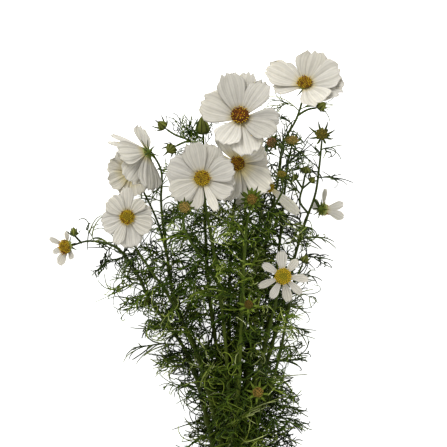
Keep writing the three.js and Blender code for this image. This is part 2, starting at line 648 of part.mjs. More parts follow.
// The same leaf as one thin blade cut to its rib, with every third pair of leaflets.
function leafBlade({ onRib, flank, length, leaflets }) {
  const centre = []; // middle plane of the blade, a point at a time
  const normals = [];
  const index = [];
  const outline = { left: [], right: [] };
  const addPoint = (p, t) => {
    const ahead = onRib(t + 0.05).sub(onRib(t - 0.05));
    normals.push(ahead.cross(flank).normalize().multiplyScalar(THREAD.thick / 2));
    return centre.push(p) - 1;
  };
  const addPair = (t) => {
    const half = THREAD.half * (1 - 0.35 * t);
    const left = addPoint(onRib(t).addScaledVector(flank, half), t);
    const right = addPoint(onRib(t).addScaledVector(flank, -half), t);
    const before = [outline.left.at(-1), outline.right.at(-1)];
    if (before[0] !== undefined) index.push([before[0], before[1], right], [before[0], right, left]);
    outline.left.push(left);
    outline.right.push(right);
  };
  addPair(0);
  for (const t of BLADE_STATIONS) {
    addPair(t - 1.1 / length);
    const roots = [outline.left.at(-1), outline.right.at(-1)];
    const pair = leaflets.filter((leaflet) => leaflet.t === t);
    const tips = pair.map(({ onLeaflet }) => addPoint(onLeaflet(1), t));
    const [leftStart, rightStart] = roots;
    addPair(t + 1.1 / length);
    index.push([leftStart, outline.left.at(-1), tips[0]], [rightStart, tips[1], outline.right.at(-1)]);
    outline.left.splice(-1, 0, tips[0]);
    outline.right.splice(-1, 0, tips[1]);
  }
  const end = addPoint(onRib(1), 0.95);
  index.push([outline.left.at(-1), outline.right.at(-1), end]);
  const count = centre.length;
  const points = [1, -1].flatMap((face) =>
    centre.flatMap((p, i) => p.clone().addScaledVector(normals[i], face).toArray()),
  );
  const faces = index.flatMap(([a, b, c]) => [a, b, c, count + a, count + c, count + b]);
  const edge = [...outline.right, end, ...outline.left.reverse()];
  edge.forEach((a, k) => {
    const b = edge[(k + 1) % edge.length];
    faces.push(a, count + a, b, b, count + a, count + b);
  });
  return new THREE.BufferGeometry()
    .setAttribute("position", new THREE.Float32BufferAttribute(points, 3))
    .setIndex(faces);
}

// Points along every thread, near enough together to leave no cube between them out.
function leafSamples({ onRib, length, leaflets }) {
  const lines = [{ curve: onRib, long: length }];
  for (const { onLeaflet } of leaflets) {
    lines.push({ curve: onLeaflet, long: onLeaflet(0).distanceTo(onLeaflet(1)) * 1.1 });
    lines.push({ curve: (s) => onLeaflet(0).lerp(onLeaflet(1), s), long: lines.at(-1).long });
  }
  return lines.flatMap(({ curve, long }) => {
    const count = Math.ceil((long * 1.15) / CELL);
    return Array.from({ length: count + 1 }, (_, k) => curve(k / count));
  });
}

function strays(points) {
  const { lerp, inverseLerp } = THREE.MathUtils;
  return points.some(({ x, y }) => {
    const k = Math.max(1, SPREAD.findIndex(([far]) => far > y));
    const [low, high] = [SPREAD[k - 1], SPREAD[k]];
    const share = Math.max(0, inverseLerp(low[0], high[0], y));
    return x < lerp(low[1], high[1], share) || x > lerp(low[2], high[2], share);
  });
}

const LEAF_START = 12; // arc length above the band where the lowest leaves stand
const LEAF_SPACING = 52;
const LEAF_SIZE = 66;

function placeLeaves() {
  const leaves = [];
  for (const [name, stem] of Object.entries(STEMS)) {
    const draw = draws(stem.seed);
    const line = walk(stemLine(stem), 1).filter((p) => p.y > 0);
    let quarter = draw() * Math.PI;
    const first = LEAF_START + draw() * LEAF_SPACING * 0.8;
    for (let place = first; place < line.length - 45; place += LEAF_SPACING) {
      const share = place / line.length;
      quarter += Math.PI / 2;
      for (const half of [0, Math.PI]) {
        for (let attempt = 0; attempt < LEAF_TRIES; attempt++) {
          const at = Math.round(place + (draw() - 0.5) * 18);
          const tangent = line[at + 2].clone().sub(line[at - 2]).normalize();
          const size = LEAF_SIZE * (1.1 - 0.5 * share);
          const bearing = quarter + half + attempt * 0.7;
          const leaf = leafThreads(line[at], tangent, bearing, size, draw);
          const samples = leafSamples(leaf);
          if (strays(samples)) continue;
          const cells = cellsNear(samples, LEAF_REACH);
          if (!isFree(cells, name)) continue;
          cells.forEach((cell) => taken.set(cell, name + leaves.length));
          leaves.push({ stem: name, ...leaf });
          break;
        }
      }
    }
  }
  return leaves;
}

// ---------------------------------------------------------------- what fills space before leaves
for (const [name, stem] of Object.entries(STEMS)) {
  claim(walk(stemLine(stem), 1.5), STEM_RADIUS + 0.2, name);
}
for (const shoot of SHOOTS) claim(walk(shootLine(shoot), 1.5), 1.8, shoot.stem);
for (const twig of TWIGS) claim(walk(twigLine(twig), 1.5), 1.8, twig.stem);
for (const [name, head] of Object.entries(HEADS)) claim([vec(head.at), neckOf(name)], 7, name);
for (const [name, bloom] of Object.entries(BLOOMS)) {
  const matrix = headMatrix(bloom);
  for (const petal of petalsOf(bloom))
    for (let i = -3; i <= 3; i++)
      for (let j = 1; j <= 9; j++)
        claim([petalPoint(petal, i / 3, j / 9).applyMatrix4(matrix)], 2.2, name);
}
const leaves = placeLeaves();

// ---------------------------------------------------------------- nodes
const bunch = new THREE.Group();

function addNode(name, geometry, look, matrix) {
  const material = new THREE.MeshStandardMaterial({ metalness: 0, ...COLOURS[look] });
  const mesh = new THREE.Mesh(geometry, material);
  mesh.name = name;
  if (matrix) matrix.decompose(mesh.position, mesh.quaternion, mesh.scale);
  bunch.add(mesh);
}

function greenOf(headName) {
  const head = HEADS[headName];
  const shape = headName in BLOOMS ? bloomGreen : headName in BUDS ? budGreen : seedGreen;
  return shape(head).applyMatrix4(headMatrix(head));
}

function stemNode(name, stem) {
  const pieces = [bar(stemLine(stem), STEM_RADIUS, NECK_RADIUS, STEM_SIDES), greenOf(stem.head)];
  const own = (piece) => piece.stem === name;
  for (const shoot of SHOOTS.filter(own)) {
    pieces.push(bar(shootLine(shoot), SHOOT_RADIUS, NECK_RADIUS, SHOOT_SIDES), greenOf(shoot.head));
  }
  for (const twig of TWIGS.filter(own)) {
    pieces.push(bar(twigLine(twig), NECK_RADIUS, NECK_RADIUS, SHOOT_SIDES), greenOf(twig.head));
  }
  pieces.push(...leaves.filter(own).map(leafBlade));
  addNode(name, geometryOf(join(pieces)), "stem");
}

// A flat rubber band round the bundle, an even ring with a straight side to lie on.
function bandGeometry() {
  const ring = (grow) =>
    Array.from({ length: BAND.sides }, (_, k) => {
      const angle = ((k + 0.5) / BAND.sides) * 2 * Math.PI - Math.PI / 2;
      const [x, y] = [(BAND.across + grow) * Math.cos(angle), (BAND.up + grow) * Math.sin(angle)];
      return new THREE.Vector2(x, y);
    });
  const shape = new THREE.Shape(ring(BAND.thick));
  shape.holes.push(new THREE.Path(ring(0)));
  return new THREE.ExtrudeGeometry(shape, { depth: BAND.wide, bevelEnabled: false })
    .translate(0, 0, -BAND.wide / 2)
    .rotateX(Math.PI / 2);
}

for (const [name, stem] of Object.entries(STEMS)) stemNode(name, stem);
for (const [name, bloom] of Object.entries(BLOOMS)) {
  addNode(name + "_petals", petalRing(bloom), "petal", headMatrix(bloom));
  const disc = floretDome(bloom.disc, bloom.disc * 0.4, bloom.rise);
  addNode(name + "_disc", geometryOf(solidOf(disc)), "disc", headMatrix(bloom));
}
for (const [name, head] of Object.entries(SEED_HEADS)) {
  const dome = floretDome(head.disc, head.dome, SEED_BRACT_RISE).translate(0, 0, -HUB.thick);
  addNode(name, geometryOf(solidOf(dome)), "seed", headMatrix(head));
}
const band = bandGeometry();
addNode("rubber_band", band, "band", new THREE.Matrix4().makeTranslation(0, 0, BAND.middle));

// The origin is under the middle of the whole bunch, on the surface it lies on.
const whole = new THREE.Box3().setFromObject(bunch, true);
const middle = whole.getCenter(new THREE.Vector3());
bunch.position.set(-middle.x, -middle.y, -whole.min.z);

export default bunch;
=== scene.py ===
import math

import bpy
import numpy as np
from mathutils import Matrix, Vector


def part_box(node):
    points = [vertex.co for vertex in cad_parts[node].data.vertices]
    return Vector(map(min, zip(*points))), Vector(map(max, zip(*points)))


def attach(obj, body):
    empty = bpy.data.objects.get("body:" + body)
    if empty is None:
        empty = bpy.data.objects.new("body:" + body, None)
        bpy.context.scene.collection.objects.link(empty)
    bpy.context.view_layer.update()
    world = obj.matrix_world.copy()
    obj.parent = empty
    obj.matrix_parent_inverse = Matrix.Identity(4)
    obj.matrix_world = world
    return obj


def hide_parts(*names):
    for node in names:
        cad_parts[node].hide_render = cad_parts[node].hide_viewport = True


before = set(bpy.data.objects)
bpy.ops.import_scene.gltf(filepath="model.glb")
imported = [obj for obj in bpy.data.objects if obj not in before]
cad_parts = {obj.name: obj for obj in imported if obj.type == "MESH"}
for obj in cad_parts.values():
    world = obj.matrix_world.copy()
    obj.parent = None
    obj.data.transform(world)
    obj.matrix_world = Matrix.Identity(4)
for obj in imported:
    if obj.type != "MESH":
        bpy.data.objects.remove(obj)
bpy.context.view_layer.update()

MM = 0.001

# ---------------------------------------------------------------- sizes shared with the CAD source
CUT_END = -85
STEM_RADIUS = 2.72
BUNDLE_STEP = 5
NECK_RADIUS = 0.95
SHOOT_RADIUS = 1.15
RING_STEP = 31
SHOOT_STEP = 15
BAND_MIDDLE = 13.8
BAND_ACROSS = 10.45
BAND_UP = 12.15
BAND_THICK = 1.7
BAND_WIDE = 9
BAND_SIDES = 18
SPLAY = (1.5, 1.18)
HUB_RADIUS = 6.3
HUB_THICK = 2.4
CLAW_START = 4.2
LAYER_LIFT = 0.5
LAYER_TILT = 3.5
GAP = 0.3
CUP_TALL = 5.2
CUP_TOP = -HUB_THICK / 2 - GAP
SEED_BRACT_RISE = 30
FLOOR_CLEAR = 1.3
CELL = 2
LEAF_REACH = 1.4
LEAF_TRIES = 14
LEAF_SHIFT = 18  # how far along its stem a leaf may be moved
LEAF_END = 45  # length of stem below its head without large leaves
LEAF_START = 12
LEAF_SPACING = 52
LEAF_SIZE = 66
LEAF_STATIONS = (0.3, 0.44, 0.58, 0.72, 0.86)
PETAL_OUTLINE = (0.22, 0.46, 0.7, 0.9, 1, 0.98, 0.72)

# How far the leaves spread to the left and right: y up the bunch, lowest x, highest x.
SPREAD = [
    (-20, -52, 52), (30, -56, 60), (78, -44, 86), (100, -43, 91), (112, -76, 60), (140, -93, 66),
    (180, -105, 78), (200, -124, 74), (240, -130, 78), (300, -140, 112), (460, -140, 112),
]

# leafy is how far apart the small leaves of a stem are, against the other stems.
STEMS = {
    "stem_far_left": dict(
        place=(-2, -1), head="bloom_far_left", seed=11,
        route=[
            (-17.5, 30, 12.5), (-27, 68, 16), (-42, 126, 23), (-59, 159, 28), (-83, 191, 33),
            (-97, 220, 37), (-117, 248, 38), (-142, 256.5, 30), (-158, 254, 20), (-166, 251, 13),
        ],
    ),
    "stem_left": dict(
        place=(-3, 0), head="bloom_left", seed=12,
        route=[
            (-11, 34, 18), (-17, 68, 26), (-39, 143, 42), (-54, 176, 49), (-69, 205, 54),
            (-85, 228, 58), (-97, 246, 60), (-105, 263, 60), (-107, 276, 63),
        ],
    ),
    "stem_nodding": dict(
        place=(-1, 0), head="bloom_nodding", seed=13,
        route=[
            (-6, 32, 16), (-13, 73, 23), (-42, 153, 37), (-56, 182, 42), (-64, 210, 46), (-68, 240, 48),
            (-74, 288, 53), (-74, 320, 60), (-74, 337, 70), (-79, 346, 74.5),
        ],
    ),
    "stem_spray": dict(
        place=(0, -1), head="bud_spray_top", seed=14, leafy=0.42,
        route=[
            (-3, 32, 12), (-8, 78, 18), (-23, 178, 32), (-28, 228, 39), (-30, 273, 46), (-31, 325, 54),
            (-31, 346, 58), (-32, 357, 70),
        ],
    ),
    "stem_middle": dict(
        place=(-2, 1), head="bloom_middle", seed=15,
        route=[
            (-5, 38, 24), (-6, 98, 40), (-10, 158, 57), (-16, 213, 73), (-23, 258, 84), (-29, 290, 88),
            (-32, 310, 91),
        ],
    ),
    "stem_upper": dict(
        place=(0, 1), head="bloom_upper", seed=16,
        route=[
            (0, 38, 22), (1, 98, 34), (4, 168, 44), (8, 238, 49), (11, 300, 51), (12, 345, 57),
            (8, 366, 72),
        ],
    ),
    "stem_behind": dict(
        place=(-1, -2), head="bloom_behind", seed=17,
        route=[
            (-4, 33, 7), (-5, 98, 13), (-6, 168, 23), (-5, 228, 33), (-2, 283, 43), (2, 313, 51),
            (4, 328, 60),
        ],
    ),
    "stem_low": dict(
        place=(1, -2), head="bloom_low", seed=18,
        route=[(3, 33, 7), (9, 98, 12), (16, 168, 18), (21, 228, 23), (25, 273, 26), (29, 298, 30)],
    ),
    "stem_top": dict(
        place=(1, 0), head="bloom_top", seed=19,
        route=[
            (5, 32, 17), (12, 98, 26), (20, 168, 31), (28, 228, 33), (36, 278, 31), (44, 318, 31),
            (46, 343, 38), (50, 358, 46), (57, 369, 52), (63, 383, 57), (65, 398, 63),
        ],
    ),
    "stem_seed": dict(
        place=(3, 0), head="seed_head_upper", seed=20,
        route=[
            (12, 34, 16), (22, 98, 23), (32, 158, 28), (40, 208, 30), (46, 258, 30), (50, 300, 31),
            (53, 330, 42), (55, 346, 54),
        ],
    ),
    "stem_right": dict(
        place=(2, -1), head="seed_head_right", seed=21,
        route=[
            (10, 32, 11), (20, 83, 14), (33, 133, 18), (46, 178, 21), (57, 223, 23), (66, 258, 24),
            (75, 285, 27), (81, 300, 30), (84, 322, 35), (87, 341, 42), (88.3, 352, 47),
        ],
    ),
    "stem_front": dict(
        place=(1, 2), head="bloom_front", seed=22,
        route=[(5, 38, 29), (12, 78, 38), (23, 123, 50), (33, 163, 61), (40, 193, 70), (45, 211, 76)],
    ),
    "stem_high": dict(
        place=(-1, 2), head="seed_head_high", seed=23,
        route=[(-2, 38, 31), (3, 98, 48), (6, 158, 65), (8, 218, 80), (10, 258, 89), (13, 283, 96)],
    ),
    "stem_outer": dict(
        place=(2, 1), head="bud_outer", seed=24,
        route=[
            (10, 36, 22), (23, 75, 29), (35, 105, 35), (43, 132, 40), (49, 160, 45), (54, 188, 49),
            (60, 216, 53), (66, 230, 55),
        ],
    ),
}

# Side shoots: their stem, the number of its route point that they leave, their head and their route.
# Where leaves names a head, the shoot leaves that head's own shoot at the fork.
SHOOTS = [
    dict(stem="stem_far_left", leaves=8, head="bud_far_left", route=[(-162, 259, 24)]),
    dict(stem="stem_nodding", leaves=5, head="bloom_hidden",
         route=[(-78, 275, 37), (-92, 305, 27.5), (-100, 321, 26)]),
    dict(stem="stem_far_left", leaves=4, head="bud_left_edge", route=[(-86, 193, 39)]),
    dict(stem="stem_spray", leaves=6, head="bud_spray_left",
         route=[(-45, 357, 75), (-57, 361.5, 75), (-66, 367, 74)]),
    dict(stem="stem_spray", leaves=6, head="bud_spray_low", route=[(-42, 356, 82), (-53, 354, 86)]),
    dict(stem="stem_middle", leaves=3, head="seed_head_left",
         route=[(-30, 236, 88), (-45, 258, 104), (-51, 276, 115)]),
    dict(stem="stem_low", leaves=3, head="seed_head_middle",
         route=[(24, 250, 40), (33, 278, 54), (44, 300, 70), (49, 314, 80)]),
    dict(stem="stem_top", leaves=9, head="bud_top_right", route=[(73, 389, 58), (80, 390.5, 59)]),
    dict(stem="stem_top", leaves=6, head="seed_head_pink", route=[(48, 345, 55), (48, 351, 78)]),
    dict(stem="stem_right", leaves=7, head="bloom_right", route=[(86, 295, 26)]),
    dict(stem="stem_right", leaves=6, head="bud_cluster_top",
         route=[(66, 297, 34), (68.5, 310, 39), (71, 321, 43)]),
    dict(stem="stem_high", leaves=2, head="seed_head_centre", route=[(13, 180, 79)]),
    dict(stem="stem_outer", leaves=1, head="seed_head_foot", route=[(25, 93, 47)]),
    dict(stem="stem_right", leaves="bud_cluster_top", fork=(68.5, 310, 39), head="bud_cluster_left",
         route=[(65, 317, 41)]),
    dict(stem="stem_right", leaves="bud_cluster_top", fork=(68.5, 310, 39), head="bud_cluster_right",
         route=[(74, 314, 42)]),
]

# Open blooms, as in the CAD source, and what only this script has: age is how ripe the florets are,
# from 0 to 1, shades the painted light and shade on each petal, lighter where more light would fall and
# darker where shade would, asides how many degrees it is turned from the CAD one, crease how deep its
# pleats are and how dark the shade painted in their grooves is, claw how far out its green tinge
# reaches, and clear the share of its length round the bloom's middle that leaves keep off.
BLOOMS = {
    "bloom_top": dict(
        at=(70, 413, 71), faces=(-0.12, 0.6, 0.79), length=43, half=14.5, rise=20, bend=-8, disc=7.6,
        age=0.55,
        bearings=[198, 165, 134, 80, 47, 14, -20, -62],
        lengths=[0.8, 1, 0.84, 0.9, 0.84, 0.92, 1, 0.96],
        widths=[0.55, 1.05, 1, 1.1, 1.2, 1.2, 1.15, 1.05],
        asides=[0, 0, 20, -3, 0, 0, 0, 0],
        shades=[1, 1, 0.95, 0.85, 0.83, 0.88, 0.95, 1],
    ),
    "bloom_upper": dict(
        at=(5, 379, 92), faces=(-0.03, 0.43, 0.9), length=45, half=14, rise=26, bend=-8, disc=9.2,
        age=1.0,
        bearings=[160, 110, 80, 53, -14, -38, -74, -116],
        lengths=[0.96, 1.04, 1.08, 1, 0.92, 0.98, 0.97, 0.85],
        widths=[1.25, 0.98, 0.8, 0.85, 0.95, 0.85, 1.1, 0.95],
        rises=[24, 26, 28, 26, 20, 16, 12, 14],
        shades=[0.9, 0.79, 0.88, 0.88, 0.75, 0.8, 1.05, 1.05],
    ),
    "bloom_middle": dict(
        at=(-32.7, 318.5, 98), faces=(0.03, 0.2, 0.98), length=37.5, half=13.5, rise=15, bend=-6,
        disc=8, age=0.4,
        bearings=[163, 108, 70, 22, -29, -67, -103, -148],
        lengths=[0.98, 1, 0.99, 0.93, 0.91, 1.06, 0.9, 1],
        shades=[0.82, 0.82, 0.8, 0.86, 0.93, 1.08, 0.93, 0.86],
        widths=[1.15, 0.88, 1, 0.95, 1.05, 0.34, 0.62, 0.92],
        asides=[0, 0, 0, 0, 8, 0, -7, 0],
    ),
    "bloom_left": dict(
        at=(-107.5, 281, 70), faces=(-0.08, -0.03, 1), length=30, half=9.5, rise=7, bend=-5, disc=7.4,
        age=0.25, crease=1.4,
        bearings=[91, 137, 197, 246, 280, 334, 377, 408],
        lengths=[1.02, 0.88, 0.92, 1.02, 1.06, 0.92, 0.86, 0.8],
        widths=[0.72, 1.1, 1.15, 0.6, 1.2, 1.1, 0.8, 0.7],
    ),
    "bloom_nodding": dict(
        at=(-88, 345, 69), faces=(-0.72, -0.48, -0.5), length=41, half=12, rise=30, bend=0, disc=3.9,
        age=0.5, crease=1.4,
        bearings=[8, 62, 76, 90, 112, 266, 290, 318],
        lengths=[0.9, 1.07, 1.12, 1.02, 0.88, 0.92, 1.04, 0.98],
        widths=[1.1, 0.45, 0.45, 0.5, 0.95, 0.9, 1.1, 1.15],
        rises=[20, 41, 42, 53, 8, 8, 15, 25],
        shades=[0.95, 1, 1, 1, 0.95, 0.85, 0.85, 0.92],
    ),
    "bloom_hidden": dict(
        at=(-104, 327, 35.5), faces=(-0.25, -0.1, 0.96), length=27, half=10, rise=20, bend=-4, disc=6,
        # claw reaches far out here: the khaki on the inner petals is painted shade under the nodding
        # bloom
        age=0.9, claw=0.75,
        bearings=[20, 110, 160, 205, 250, 295, 338],
    ),
    "bloom_behind": dict(
        at=(3.5, 334, 69), faces=(-0.28, 0.12, 0.95), length=42, half=13.5, rise=12, bend=-6, disc=7.6,
        # claw reaches further than most here: the khaki near the middle is painted shade under the blooms
        # above
        age=0.8, claw=0.5,
        bearings=[112, 40, 2, -34, -70, -106, -142, -178],
        lengths=[1, 0.8, 0.76, 1.1, 0.9, 1, 1, 1],
        shades=[1, 1.1, 1.12, 1.22, 1.05, 1, 1, 1],
    ),
    "bloom_low": dict(
        at=(33, 313, 40), faces=(-0.08, -0.15, 0.98), length=44, half=5.6, rise=8, bend=0, disc=7,
        age=0.1, clear=0.3,
        bearings=[-40, 130, 172, 214],
        widths=[1, 1.2, 1.3, 1.2],
        # the lone petal's 1.4 is painted light, lifting it out of the shade of the blooms above
        shades=[1.4, 1, 1, 1],
    ),
    "bloom_front": dict(
        at=(47.5, 222, 84), faces=(0.05, 0.05, 1), length=27, half=5.2, rise=-4, bend=-12, disc=8.4,
        age=0.0, crease=1.7,
        bearings=[92, 48, -4, -43, -77, -120, -156, -213],
        lengths=[1, 0.86, 1.02, 0.98, 1, 0.95, 1.02, 0.9],
        widths=[1.05, 0.8, 0.75, 0.72, 0.9, 0.78, 0.68, 0.78],
    ),
    "bloom_far_left": dict(
        at=(-172, 251, 12), faces=(-0.64, -0.1, 0.76), length=22, half=3, rise=14, bend=0, disc=7.8,
        age=0.35, crease=1.5,
        bearings=[84, 156, 198, 246, 300],
        lengths=[0.75, 1, 0.95, 0.98, 0.7],
        widths=[1.1, 1, 1, 1.9, 1.3],
    ),
    "bloom_right": dict(
        at=(90, 289, 21.9), faces=(0.72, -0.15, -0.62), length=25, half=5.6, rise=24, bend=-8, disc=6,
        age=0.5,
        bearings=[95, 164, 20, 197],
        lengths=[0.88, 0.98, 1, 1.06],
        widths=[0.6, 0.78, 1, 0.82],
        rises=[0, 24, 24, 24],
    ),
}

# Heads whose petals have dropped, as in the CAD source. ripe is the colour of their florets, and
# fresh heads have longer and greener bracts, ring is how far the inner bracts stand out, and rows
# how many rings of those there are.
SEED_HEADS = {
    "seed_head_upper": dict(
        at=(57, 357, 65), faces=(0, 0.75, 0.66), disc=6.6, dome=2.6, star=11, ripe=(192, 158, 88),
    ),
    "seed_head_right": dict(
        at=(87.7, 364, 51), faces=(-0.1, 0.45, 0.88), disc=6, dome=4.5, star=14, ripe=(156, 132, 50),
    ),
    "seed_head_high": dict(
        at=(16.5, 298, 103), faces=(0, 0.3, 0.95), disc=5.4, dome=5, star=13, ripe=(184, 136, 66),
        ring=2.3, rows=3,
    ),
    "seed_head_left": dict(
        at=(-49.5, 290, 120), faces=(0, 0.25, 0.97), disc=5.4, dome=4.5, star=9, ripe=(208, 168, 92),
    ),
    "seed_head_middle": dict(
        at=(46, 323, 88), faces=(0, 0.75, 0.66), disc=4.4, dome=4, star=11, ripe=(160, 134, 48),
    ),
    "seed_head_pink": dict(
        at=(37, 354, 93), faces=(-0.45, 0.3, 0.84), disc=5, dome=8, star=7, ripe=(198, 140, 104),
    ),
    "seed_head_centre": dict(
        at=(13.5, 194, 88), faces=(0, 0.35, 0.94), disc=4, dome=4.5, star=7, ripe=(156, 106, 48),
        fresh=1.5,
    ),
    "seed_head_foot": dict(
        at=(23, 105, 63), faces=(0, 0.3, 0.95), disc=5, dome=4, star=8, ripe=(212, 160, 82), fresh=1.5,
    ),
}

# Closed green buds.
BUDS = {
    "bud_spray_top": dict(at=(-32, 364, 78), faces=(-0.05, 0.95, 0.3), radius=7, tall=18, star=10),
    "bud_spray_left": dict(at=(-70.5, 370, 73), faces=(-0.6, 0.6, 0.5), radius=5, tall=10, star=11),
    "bud_spray_low": dict(at=(-62, 350, 87), faces=(-0.5, -0.5, 0.7), radius=5.4, tall=9, star=11),
    "bud_far_left": dict(at=(-164, 262, 25), faces=(-0.05, 1, 0.2), radius=3.8, tall=9, star=9),
    "bud_left_edge": dict(at=(-88, 194.5, 43), faces=(-0.6, 0.4, 0.7), radius=3.6, tall=7, star=6),
    "bud_top_right": dict(at=(84, 390.5, 60), faces=(0.7, 0.5, 0.5), radius=4.8, tall=10, star=8),
    "bud_cluster_top": dict(at=(71.5, 326, 45), faces=(0.05, 0.9, 0.42), radius=4.8, tall=7, star=8),
    "bud_cluster_left": dict(at=(62, 320, 43), faces=(-0.6, 0.6, 0.5), radius=3.6, tall=6, star=6),
    "bud_cluster_right": dict(at=(77, 317, 43), faces=(0.5, 0.7, 0.5), radius=3.4, tall=6, star=6),
    "bud_outer": dict(at=(69, 236, 56), faces=(0.4, 0.8, 0.45), radius=4, tall=8, star=8),
}

HEADS = {**BLOOMS, **SEED_HEADS, **BUDS}

ACROSS = np.array([1.0, 0.0, 0.0])
ALONG = np.array([0.0, 1.0, 0.0])
UPWARD = np.array([0.0, 0.0, 1.0])


# ---------------------------------------------------------------- colours
def srgb(red, green, blue):
    """A colour given as it shows, each part from 0 to 255, as the linear one that shaders use."""
    shown = np.array([red, green, blue]) / 255
    return np.where(shown <= 0.04045, shown / 12.92, ((shown + 0.055) / 1.055) ** 2.4)


STEM_GREEN = srgb(106, 120, 38)
NECK_GREEN = srgb(56, 70, 18)
CUT_PITH = srgb(196, 202, 150)
LEAF_GREENS = [
    srgb(22, 35, 2), srgb(45, 65, 7), srgb(75, 96, 18), srgb(126, 140, 50), srgb(194, 202, 142),
]
BRACT_GREEN = srgb(78, 92, 26)
BRACT_TIP = srgb(36, 42, 14)
INNER_BRACT = srgb(132, 134, 56)
BUD_GREEN = srgb(118, 124, 52)
PETAL_WHITE = srgb(220, 216, 205)
PETAL_CLAW = srgb(216, 200, 136)
HUB_PALE = srgb(160, 168, 96)
FLORET_YELLOW = srgb(222, 184, 38)
FLORET_GREEN = srgb(176, 162, 34)
ANTHER_ORANGE = srgb(196, 124, 30)
ANTHER_BROWN = srgb(84, 46, 18)
BAND_DARK = srgb(176, 132, 84)
BAND_LIGHT = srgb(198, 158, 108)
VEINS = 36  # radians of their wave from a petal's middle to its edge


# ---------------------------------------------------------------- small helpers
MASK = 0xFFFFFFFF


def draws(seed):
    """The same draws every time, from 0 to 1, and the same as the CAD source's."""
    state = seed & MASK

    def draw():
        nonlocal state
        state = (state + 0x6D2B79F5) & MASK
        t = state
        t = ((t ^ (t >> 15)) * (t | 1)) & MASK
        t = (t ^ (t + (t ^ (t >> 7)) * (t | 61))) & MASK
        return (t ^ (t >> 14)) / 4294967296

    return draw


def vec(values):
    return np.array(values, float)


def unit(v):
    return v / np.maximum(np.linalg.norm(v, axis=-1, keepdims=True), 1e-12)


def spline(points, places):
    """The curve through the points at places from 0 to 1, an even share for each stretch."""
    points = vec(points)
    count = len(points) - 1
    padded = np.vstack([2 * points[0] - points[1], points, 2 * points[-1] - points[-2]])
    place = np.clip(np.asarray(places) * count, 0, count)
    first = np.minimum(place.astype(int), count - 1)
    t = (place - first)[:, None]
    before, start, end, after = (padded[first + k] for k in range(4))
    slope_in = 0.5 * (end - before)
    slope_out = 0.5 * (after - start)
    square = -3 * start + 3 * end - 2 * slope_in - slope_out
    cube = 2 * start - 2 * end + slope_in + slope_out
    return start + slope_in * t + square * t**2 + cube * t**3


CURVE_STEPS = 12  # straight pieces for each stretch of a smooth curve, when its length is measured


def even_points(points, step):
    """Points at even distances on the smooth curve through some others."""
    divisions = (len(points) - 1) * CURVE_STEPS
    fine = spline(points, np.arange(divisions + 1) / divisions)
    reach = np.concatenate([[0], np.cumsum(np.linalg.norm(np.diff(fine, axis=0), axis=1))])
    count = max(1, math.floor(reach[-1] / step + 0.5))
    want = reach[-1] * np.arange(count + 1) / count
    return np.stack([np.interp(want, reach, fine[:, k]) for k in range(3)], axis=1)


def walk(line, step):
    """Points every so often along a line of straight stretches."""
    steps = []
    for start, end in zip(line[:-1], line[1:]):
        count = math.ceil(np.linalg.norm(end - start) / step)
        steps.append(start + (end - start) * (np.arange(count) / count)[:, None])
    return np.concatenate(steps)


def nearest(line, point):
    """The point of a line that lies nearest to another point, to half a millimetre."""
    steps = walk(line, 0.5)
    return steps[np.argmin(np.linalg.norm(steps - point, axis=1))]


def head_basis(head):
    """Columns: the head's right, its top, which leans towards +Y, and the way it faces."""
    out = unit(vec(head["faces"]))
    right = unit(np.cross(ALONG, out))
    return np.stack([right, np.cross(out, right), out], axis=1)


def put(points, head):
    """Points of a head's own frame, in the bunch's."""
    return points @ head_basis(head).T + vec(head["at"])


def turned(x, y, z, degrees):
    """Points turned about a head's axis."""
    turn = math.radians(degrees)
    along = x * math.cos(turn) - y * math.sin(turn)
    return np.stack([along, x * math.sin(turn) + y * math.cos(turn), z], -1)


# ---------------------------------------------------------------- the centre lines of the CAD stems
def neck_of(name):
    back = 1 if name in BUDS else -CUP_TALL
    return vec(HEADS[name]["at"]) + unit(vec(HEADS[name]["faces"])) * back


def stem_line(stem):
    x = stem["place"][0] * BUNDLE_STEP / 2
    z = stem["place"][1] * BUNDLE_STEP * math.sin(math.pi / 3)
    foot = (x * SPLAY[0], CUT_END, BAND_MIDDLE + z * SPLAY[1])
    at_band = (x, 0, BAND_MIDDLE + z)
    return even_points([foot, at_band, *stem["route"], neck_of(stem["head"])], RING_STEP)


STEM_LINES = {name: stem_line(stem) for name, stem in STEMS.items()}
SHOOT_LINES = {}


def shoot_line(shoot):
    if "fork" in shoot:
        start = nearest(SHOOT_LINES[shoot["leaves"]], vec(shoot["fork"]))
    else:
        point = STEMS[shoot["stem"]]["route"][shoot["leaves"]]
        start = nearest(STEM_LINES[shoot["stem"]], vec(point))
    return even_points([start, *shoot["route"], neck_of(shoot["head"])], SHOOT_STEP)


for shoot in SHOOTS:
    SHOOT_LINES[shoot["head"]] = shoot_line(shoot)


# ---------------------------------------------------------------- petals
def petals_of(bloom):
    """Every second petal starts higher and rises more, so that neighbours overlap and don't cross."""
    even = [1] * len(bloom["bearings"])
    lengths = bloom.get("lengths", even)
    widths = bloom.get("widths", even)
    rises = bloom.get("rises", [bloom["rise"]] * len(even))
    return [
        dict(
            bearing=bearing,
            length=bloom["length"] * lengths[k] - CLAW_START,
            half=bloom["half"] * widths[k],
            lift=LAYER_LIFT if k % 2 else -LAYER_LIFT,
            rise=rises[k] + (LAYER_TILT if k % 2 else -LAYER_TILT),
            bend=bloom["bend"],
            shade=bloom.get("shades", even)[k],
            aside=bloom.get("asides", [0] * len(even))[k],
            crease=bloom.get("crease", 1),
        )
        for k, bearing in enumerate(bloom["bearings"])
    ]


def between(values, places):
    """The smooth curve through evenly spaced values, at places from 0 to 1."""
    return spline(np.stack([values, values], axis=1), np.ravel(places))[:, 0].reshape(np.shape(places))


def pleats(u, v, phase):
    """The folds that run out along a petal, from -1 in a groove to 1 on a ridge."""
    warped = u + 0.09 * np.sin(2.5 * u + phase) + 0.03 * np.sin(7 * v + 3 * phase) * v
    coarse = np.cos(4.4 * math.pi * warped + phase)
    fine = np.cos(8.3 * math.pi * warped - 2 * phase)
    return 0.62 * coarse + 0.38 * fine


